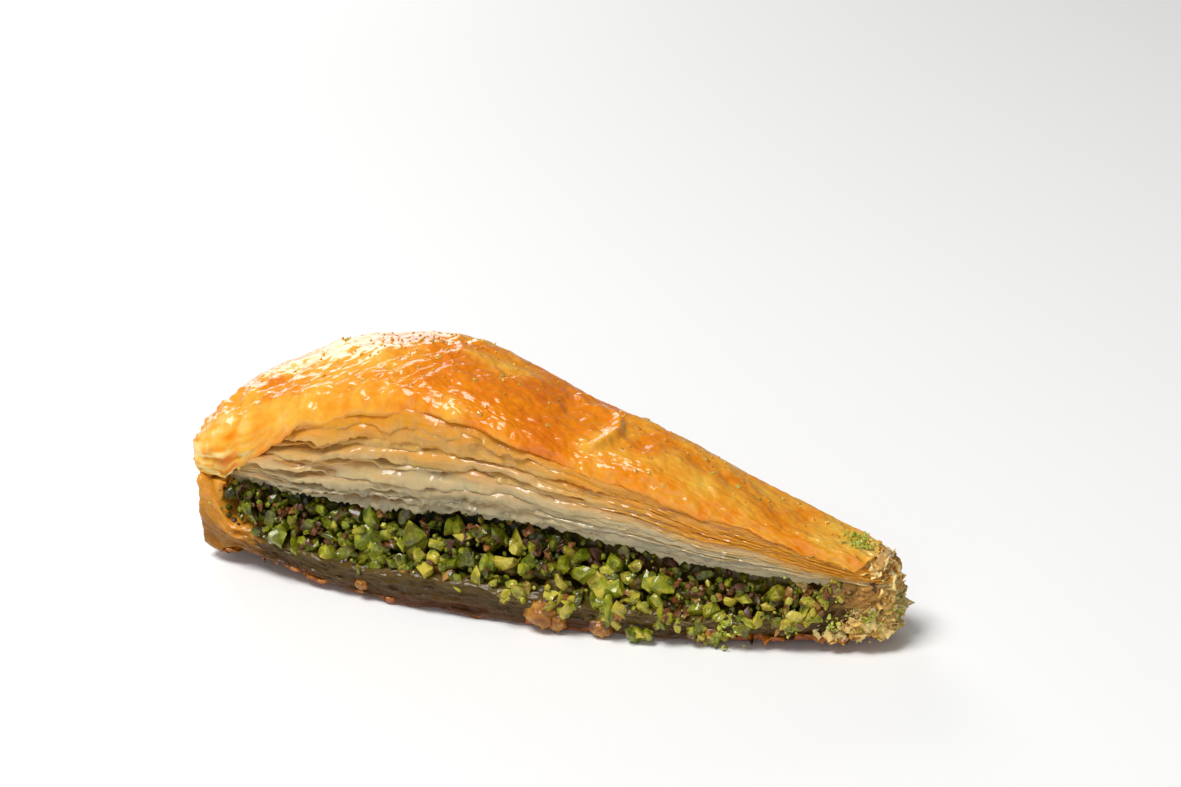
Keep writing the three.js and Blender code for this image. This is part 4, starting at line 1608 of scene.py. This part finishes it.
class BAKLAVA_OT_golden_crumbs(bpy.types.Operator):
    """Scatters tiny golden crumbs of pastry over the crest of the skin"""

    bl_idname = "baklava.golden_crumbs"
    bl_label = "Golden crumbs"

    def execute(self, context):
        rng = np.random.default_rng(61)
        count = context.scene.baklava.topping.crumbs
        on_crest = count * 2 // 3
        u = np.concatenate([rng.normal(0.3, 0.07, on_crest), rng.uniform(0.1, 0.95, count - on_crest)])
        b = rng.normal(0.15, 0.35, count).clip(-0.9, 0.9)
        places, _ = on_skin(context, u, b, 0.08)
        sizes = rng.uniform(0.13, 0.36, count)[:, None] * rng.uniform(0.7, 1.3, (count, 3))
        browning = rng.uniform(0.0, 0.7, count)[:, None]
        shapes = Shapes().add_copies(*ball(0), places, turns(rng, count), sizes, browning=browning)
        golds = (rgb(240, 204, 96), rgb(232, 164, 34), rgb(196, 104, 10))
        material = crust_finish("golden crumbs", (0.0, 0.5, 1.0), golds)
        shapes.finish("golden_crumbs", material, "browned_pastry", sharp=math.radians(50))
        return {"FINISHED"}


# Lumps of caramelised syrup and nut along the front's lower edge: share of the length, and in millimetres the
# height above the underside, how far out from the base's face, and radius.
LUMPS = [
    (0.565, 3.4, -0.4, 3.0),
    (0.585, 2.2, -0.2, 2.0),
    (0.645, 2.0, -0.3, 2.0),
    (0.665, 5.0, -0.2, 1.8),
    (0.79, 2.2, -0.4, 1.7),
    (0.3, 3.0, -0.4, 1.3),
]


class BAKLAVA_OT_browned_lumps(bpy.types.Operator):
    """Adds the lumps of caramelised syrup and nut that stick to the base's front edge"""

    bl_idname = "baklava.browned_lumps"
    bl_label = "Browned lumps"

    def execute(self, context):
        shape, triangles = ball(3)
        shapes = Shapes()
        for number, (share, height, out, radius) in enumerate(LUMPS):
            u = np.array([share])
            front = centre_line(u) - half_width(u, BASE_OUT, -1) * rounded(u) + FOOT_TUCK * 0.4
            centre = np.array([RIM_END + share * LENGTH, front[0] - out, height + lift(u)[0]])
            rough = 1 + 0.16 * noise(shape * 1.2 + 9 * number, 600)
            rough = rough + 0.12 * layered_noise(shape * 3.5 + number, 601, 3)
            points = shape * rough[:, None] * radius * (1.0, 0.85, 0.9) + centre
            points[:, 2] = np.maximum(points[:, 2], 0.05)
            browning = 0.35 + 0.35 * noise(shape * 2.4 + number, 602)
            shapes.add(points, None, triangles, browning=np.clip(browning, 0, 1))
        browns = (rgb(190, 140, 54), rgb(156, 94, 20), rgb(104, 56, 10), rgb(64, 32, 8))
        material = crust_finish("caramelised lumps", (0.0, 0.4, 0.75, 1.0), browns)
        shapes.finish("browned_lumps", material, "soaked_pastry")
        return {"FINISHED"}


FLAKE_KINDS = 12


class BAKLAVA_OT_tip_flakes(bpy.types.Operator):
    """Sticks loose, crumpled flakes of pastry on the tip, where the sheets have crumbled"""

    bl_idname = "baklava.tip_flakes"
    bl_label = "Tip flakes"

    def execute(self, context):
        rng = np.random.default_rng(51)
        number = context.scene.baklava.topping.flakes // FLAKE_KINDS
        path = CutEdge(0.4)
        shapes = Shapes()
        for _ in range(FLAKE_KINDS):
            shape, triangles = flake_shape(rng)
            front = rng.uniform(size=number) < 0.3
            s = np.where(front, rng.normal(-9.5, 3.5, number), rng.normal(-0.5, 4.0, number))
            xy, normal, u, side = path.at(path.length / 2 + s)
            share = np.where(front, rng.uniform(0.05, 0.6, number), rng.uniform(0.05, 1.4, number))
            height = lift(u) + np.minimum(share, 1.03) * shoulder(u)
            high = np.clip(1.6 * share, 0, 1)
            face = mix(stands_out(u, BASE_OUT, side), stands_out(u, SKIN_OUT, side), high)
            out = face - 0.6 + rng.normal(0, 0.35, number)
            out = out + 1.1 * np.sin(np.pi * np.minimum(share, 1)) * ease(u, 0.93, 1.0)
            out = out - (share > 0.97) * rng.uniform(0.0, 5.5, number)
            centres = np.concatenate([xy + normal * out[:, None], height[:, None]], -1)
            sizes = np.repeat(rng.uniform(1.2, 3.5, (number, 1)) * np.where(front, 0.7, 1)[:, None], 3, 1)
            centres[:, 2] = np.maximum(centres[:, 2], 0.55 * sizes[:, 0])
            tone = np.clip(rng.normal(0.66, 0.16, number), 0, 1)
            outward = np.concatenate([normal, rng.uniform(-0.2, 1.2, (number, 1))], -1)
            outward = outward + rng.normal(0, 0.5, (number, 3))
            lean = facing(outward / np.linalg.norm(outward, axis=1, keepdims=True))
            shapes.add_copies(shape, triangles, centres, lean, sizes, tone=tone[:, None])
        shapes.finish("tip_flakes", flake_finish(), "browned_pastry")
        return {"FINISHED"}


# ---- The stage ----


AIM = (-2.4, 26.4, 26.3)
SENSOR_WIDTH = 36
FLOOR_SIZE = 8.0
AMBIENT = 0.16

# Each lamp: its name, place and width in metres, and its watts.
LAMPS = (
    ("key", (-0.25, -0.35, 0.95), 0.45, 9.8),
    ("front", (0.25, -0.95, 0.35), 0.7, 2.2),
    ("glare", (-0.62, 0.72, 0.3), 0.5, 2.6),
)


class BAKLAVA_OT_stage(bpy.types.Operator):
    """Sets up the camera, a plain pale floor and soft studio lights"""

    bl_idname = "baklava.stage"
    bl_label = "Stage"

    def camera(self, context, stage, middle):
        """A camera at the given angle and distance from a point behind and above the slice's middle."""
        aim = middle + Vector(AIM) * METRES
        turn = Matrix.Rotation(stage.azimuth, 3, "Z") @ Matrix.Rotation(math.pi / 2 - stage.elevation, 3, "X")
        data = bpy.data.cameras.new("camera")
        data.lens = stage.lens
        data.sensor_width = SENSOR_WIDTH
        data.clip_start = 0.01
        camera = bpy.data.objects.new("camera", data)
        camera.matrix_world = Matrix.Translation(aim + turn @ Vector((0, 0, stage.distance))) @ turn.to_4x4()
        context.scene.collection.objects.link(camera)
        context.scene.camera = camera

    def lamp(self, context, middle, name, place, size, watts):
        """A square soft white light that faces the slice."""
        data = bpy.data.lights.new(name, "AREA")
        data.shape = "SQUARE"
        data.size = size
        data.energy = watts
        lamp = bpy.data.objects.new(name, data)
        place = Vector(place)
        turn = (place - middle).to_track_quat("Z", "Y").to_matrix().to_4x4()
        lamp.matrix_world = Matrix.Translation(place) @ turn
        context.scene.collection.objects.link(lamp)

    def execute(self, context):
        stage = context.scene.baklava.stage
        middle = (CAD_BOX[0] + CAD_BOX[1]) / 2
        middle.z = 0.0
        self.camera(context, stage, middle)

        reach = FLOOR_SIZE / 2
        mesh = bpy.data.meshes.new("floor")
        corners = [(-reach, -reach, 0), (reach, -reach, 0), (reach, reach, 0), (-reach, reach, 0)]
        mesh.from_pydata(corners, [], [(0, 1, 2, 3)])
        floor = bpy.data.objects.new("floor", mesh)
        context.scene.collection.objects.link(floor)
        finish = Finish("floor", Roughness=0.7)
        finish.shader.inputs["Base Color"].default_value = linear(tuple(stage.floor))
        mesh.materials.append(finish.material)

        for lamp in LAMPS:
            self.lamp(context, middle, *lamp)
        world = bpy.data.worlds.new("studio")
        world.use_nodes = True
        background = world.node_tree.nodes["Background"].inputs
        background["Color"].default_value = (1, 1, 1, 1)
        background["Strength"].default_value = AMBIENT
        context.scene.world = world
        context.scene.view_settings.view_transform = "Standard"
        return {"FINISHED"}


# ---- The panel, and the run ----

STEPS = (
    BAKLAVA_OT_browned_skin,
    BAKLAVA_OT_top_sheets,
    BAKLAVA_OT_chopped_nuts,
    BAKLAVA_OT_soaked_base,
    BAKLAVA_OT_bottom_crust,
    BAKLAVA_OT_syrup_drops,
    BAKLAVA_OT_pistachio_dust,
    BAKLAVA_OT_golden_crumbs,
    BAKLAVA_OT_browned_lumps,
    BAKLAVA_OT_tip_flakes,
    BAKLAVA_OT_stage,
)


class VIEW3D_PT_baklava(bpy.types.Panel):
    """Lists the slice's pieces, in the order in which they are made"""

    bl_label = "Baklava slice"
    bl_idname = "VIEW3D_PT_baklava"
    bl_space_type = "VIEW_3D"
    bl_region_type = "UI"
    bl_category = "Baklava"

    def draw(self, context):
        for step in STEPS:
            self.layout.operator(step.bl_idname)
        for group in ("skin", "sheets", "nuts", "soaked", "topping", "stage"):
            settings = getattr(context.scene.baklava, group)
            box = self.layout.box()
            for name in settings.__annotations__:
                box.prop(settings, name)


SETTINGS = (
    SkinSettings,
    SheetSettings,
    NutSettings,
    SoakedSettings,
    ToppingSettings,
    StageSettings,
    BaklavaSettings,
)


def register():
    for kind in (*SETTINGS, *STEPS, VIEW3D_PT_baklava):
        bpy.utils.register_class(kind)
    bpy.types.Scene.baklava = PointerProperty(type=BaklavaSettings)


def unregister():
    del bpy.types.Scene.baklava
    for kind in (VIEW3D_PT_baklava, *reversed(STEPS), *reversed(SETTINGS)):
        bpy.utils.unregister_class(kind)


def main():
    """Makes every piece in order."""
    register()
    bpy.ops.baklava.browned_skin()
    bpy.ops.baklava.top_sheets()
    bpy.ops.baklava.chopped_nuts()
    bpy.ops.baklava.soaked_base()
    bpy.ops.baklava.bottom_crust()
    bpy.ops.baklava.syrup_drops()
    bpy.ops.baklava.pistachio_dust()
    bpy.ops.baklava.golden_crumbs()
    bpy.ops.baklava.browned_lumps()
    bpy.ops.baklava.tip_flakes()
    bpy.ops.baklava.stage()


if __name__ == "__main__":
    main()
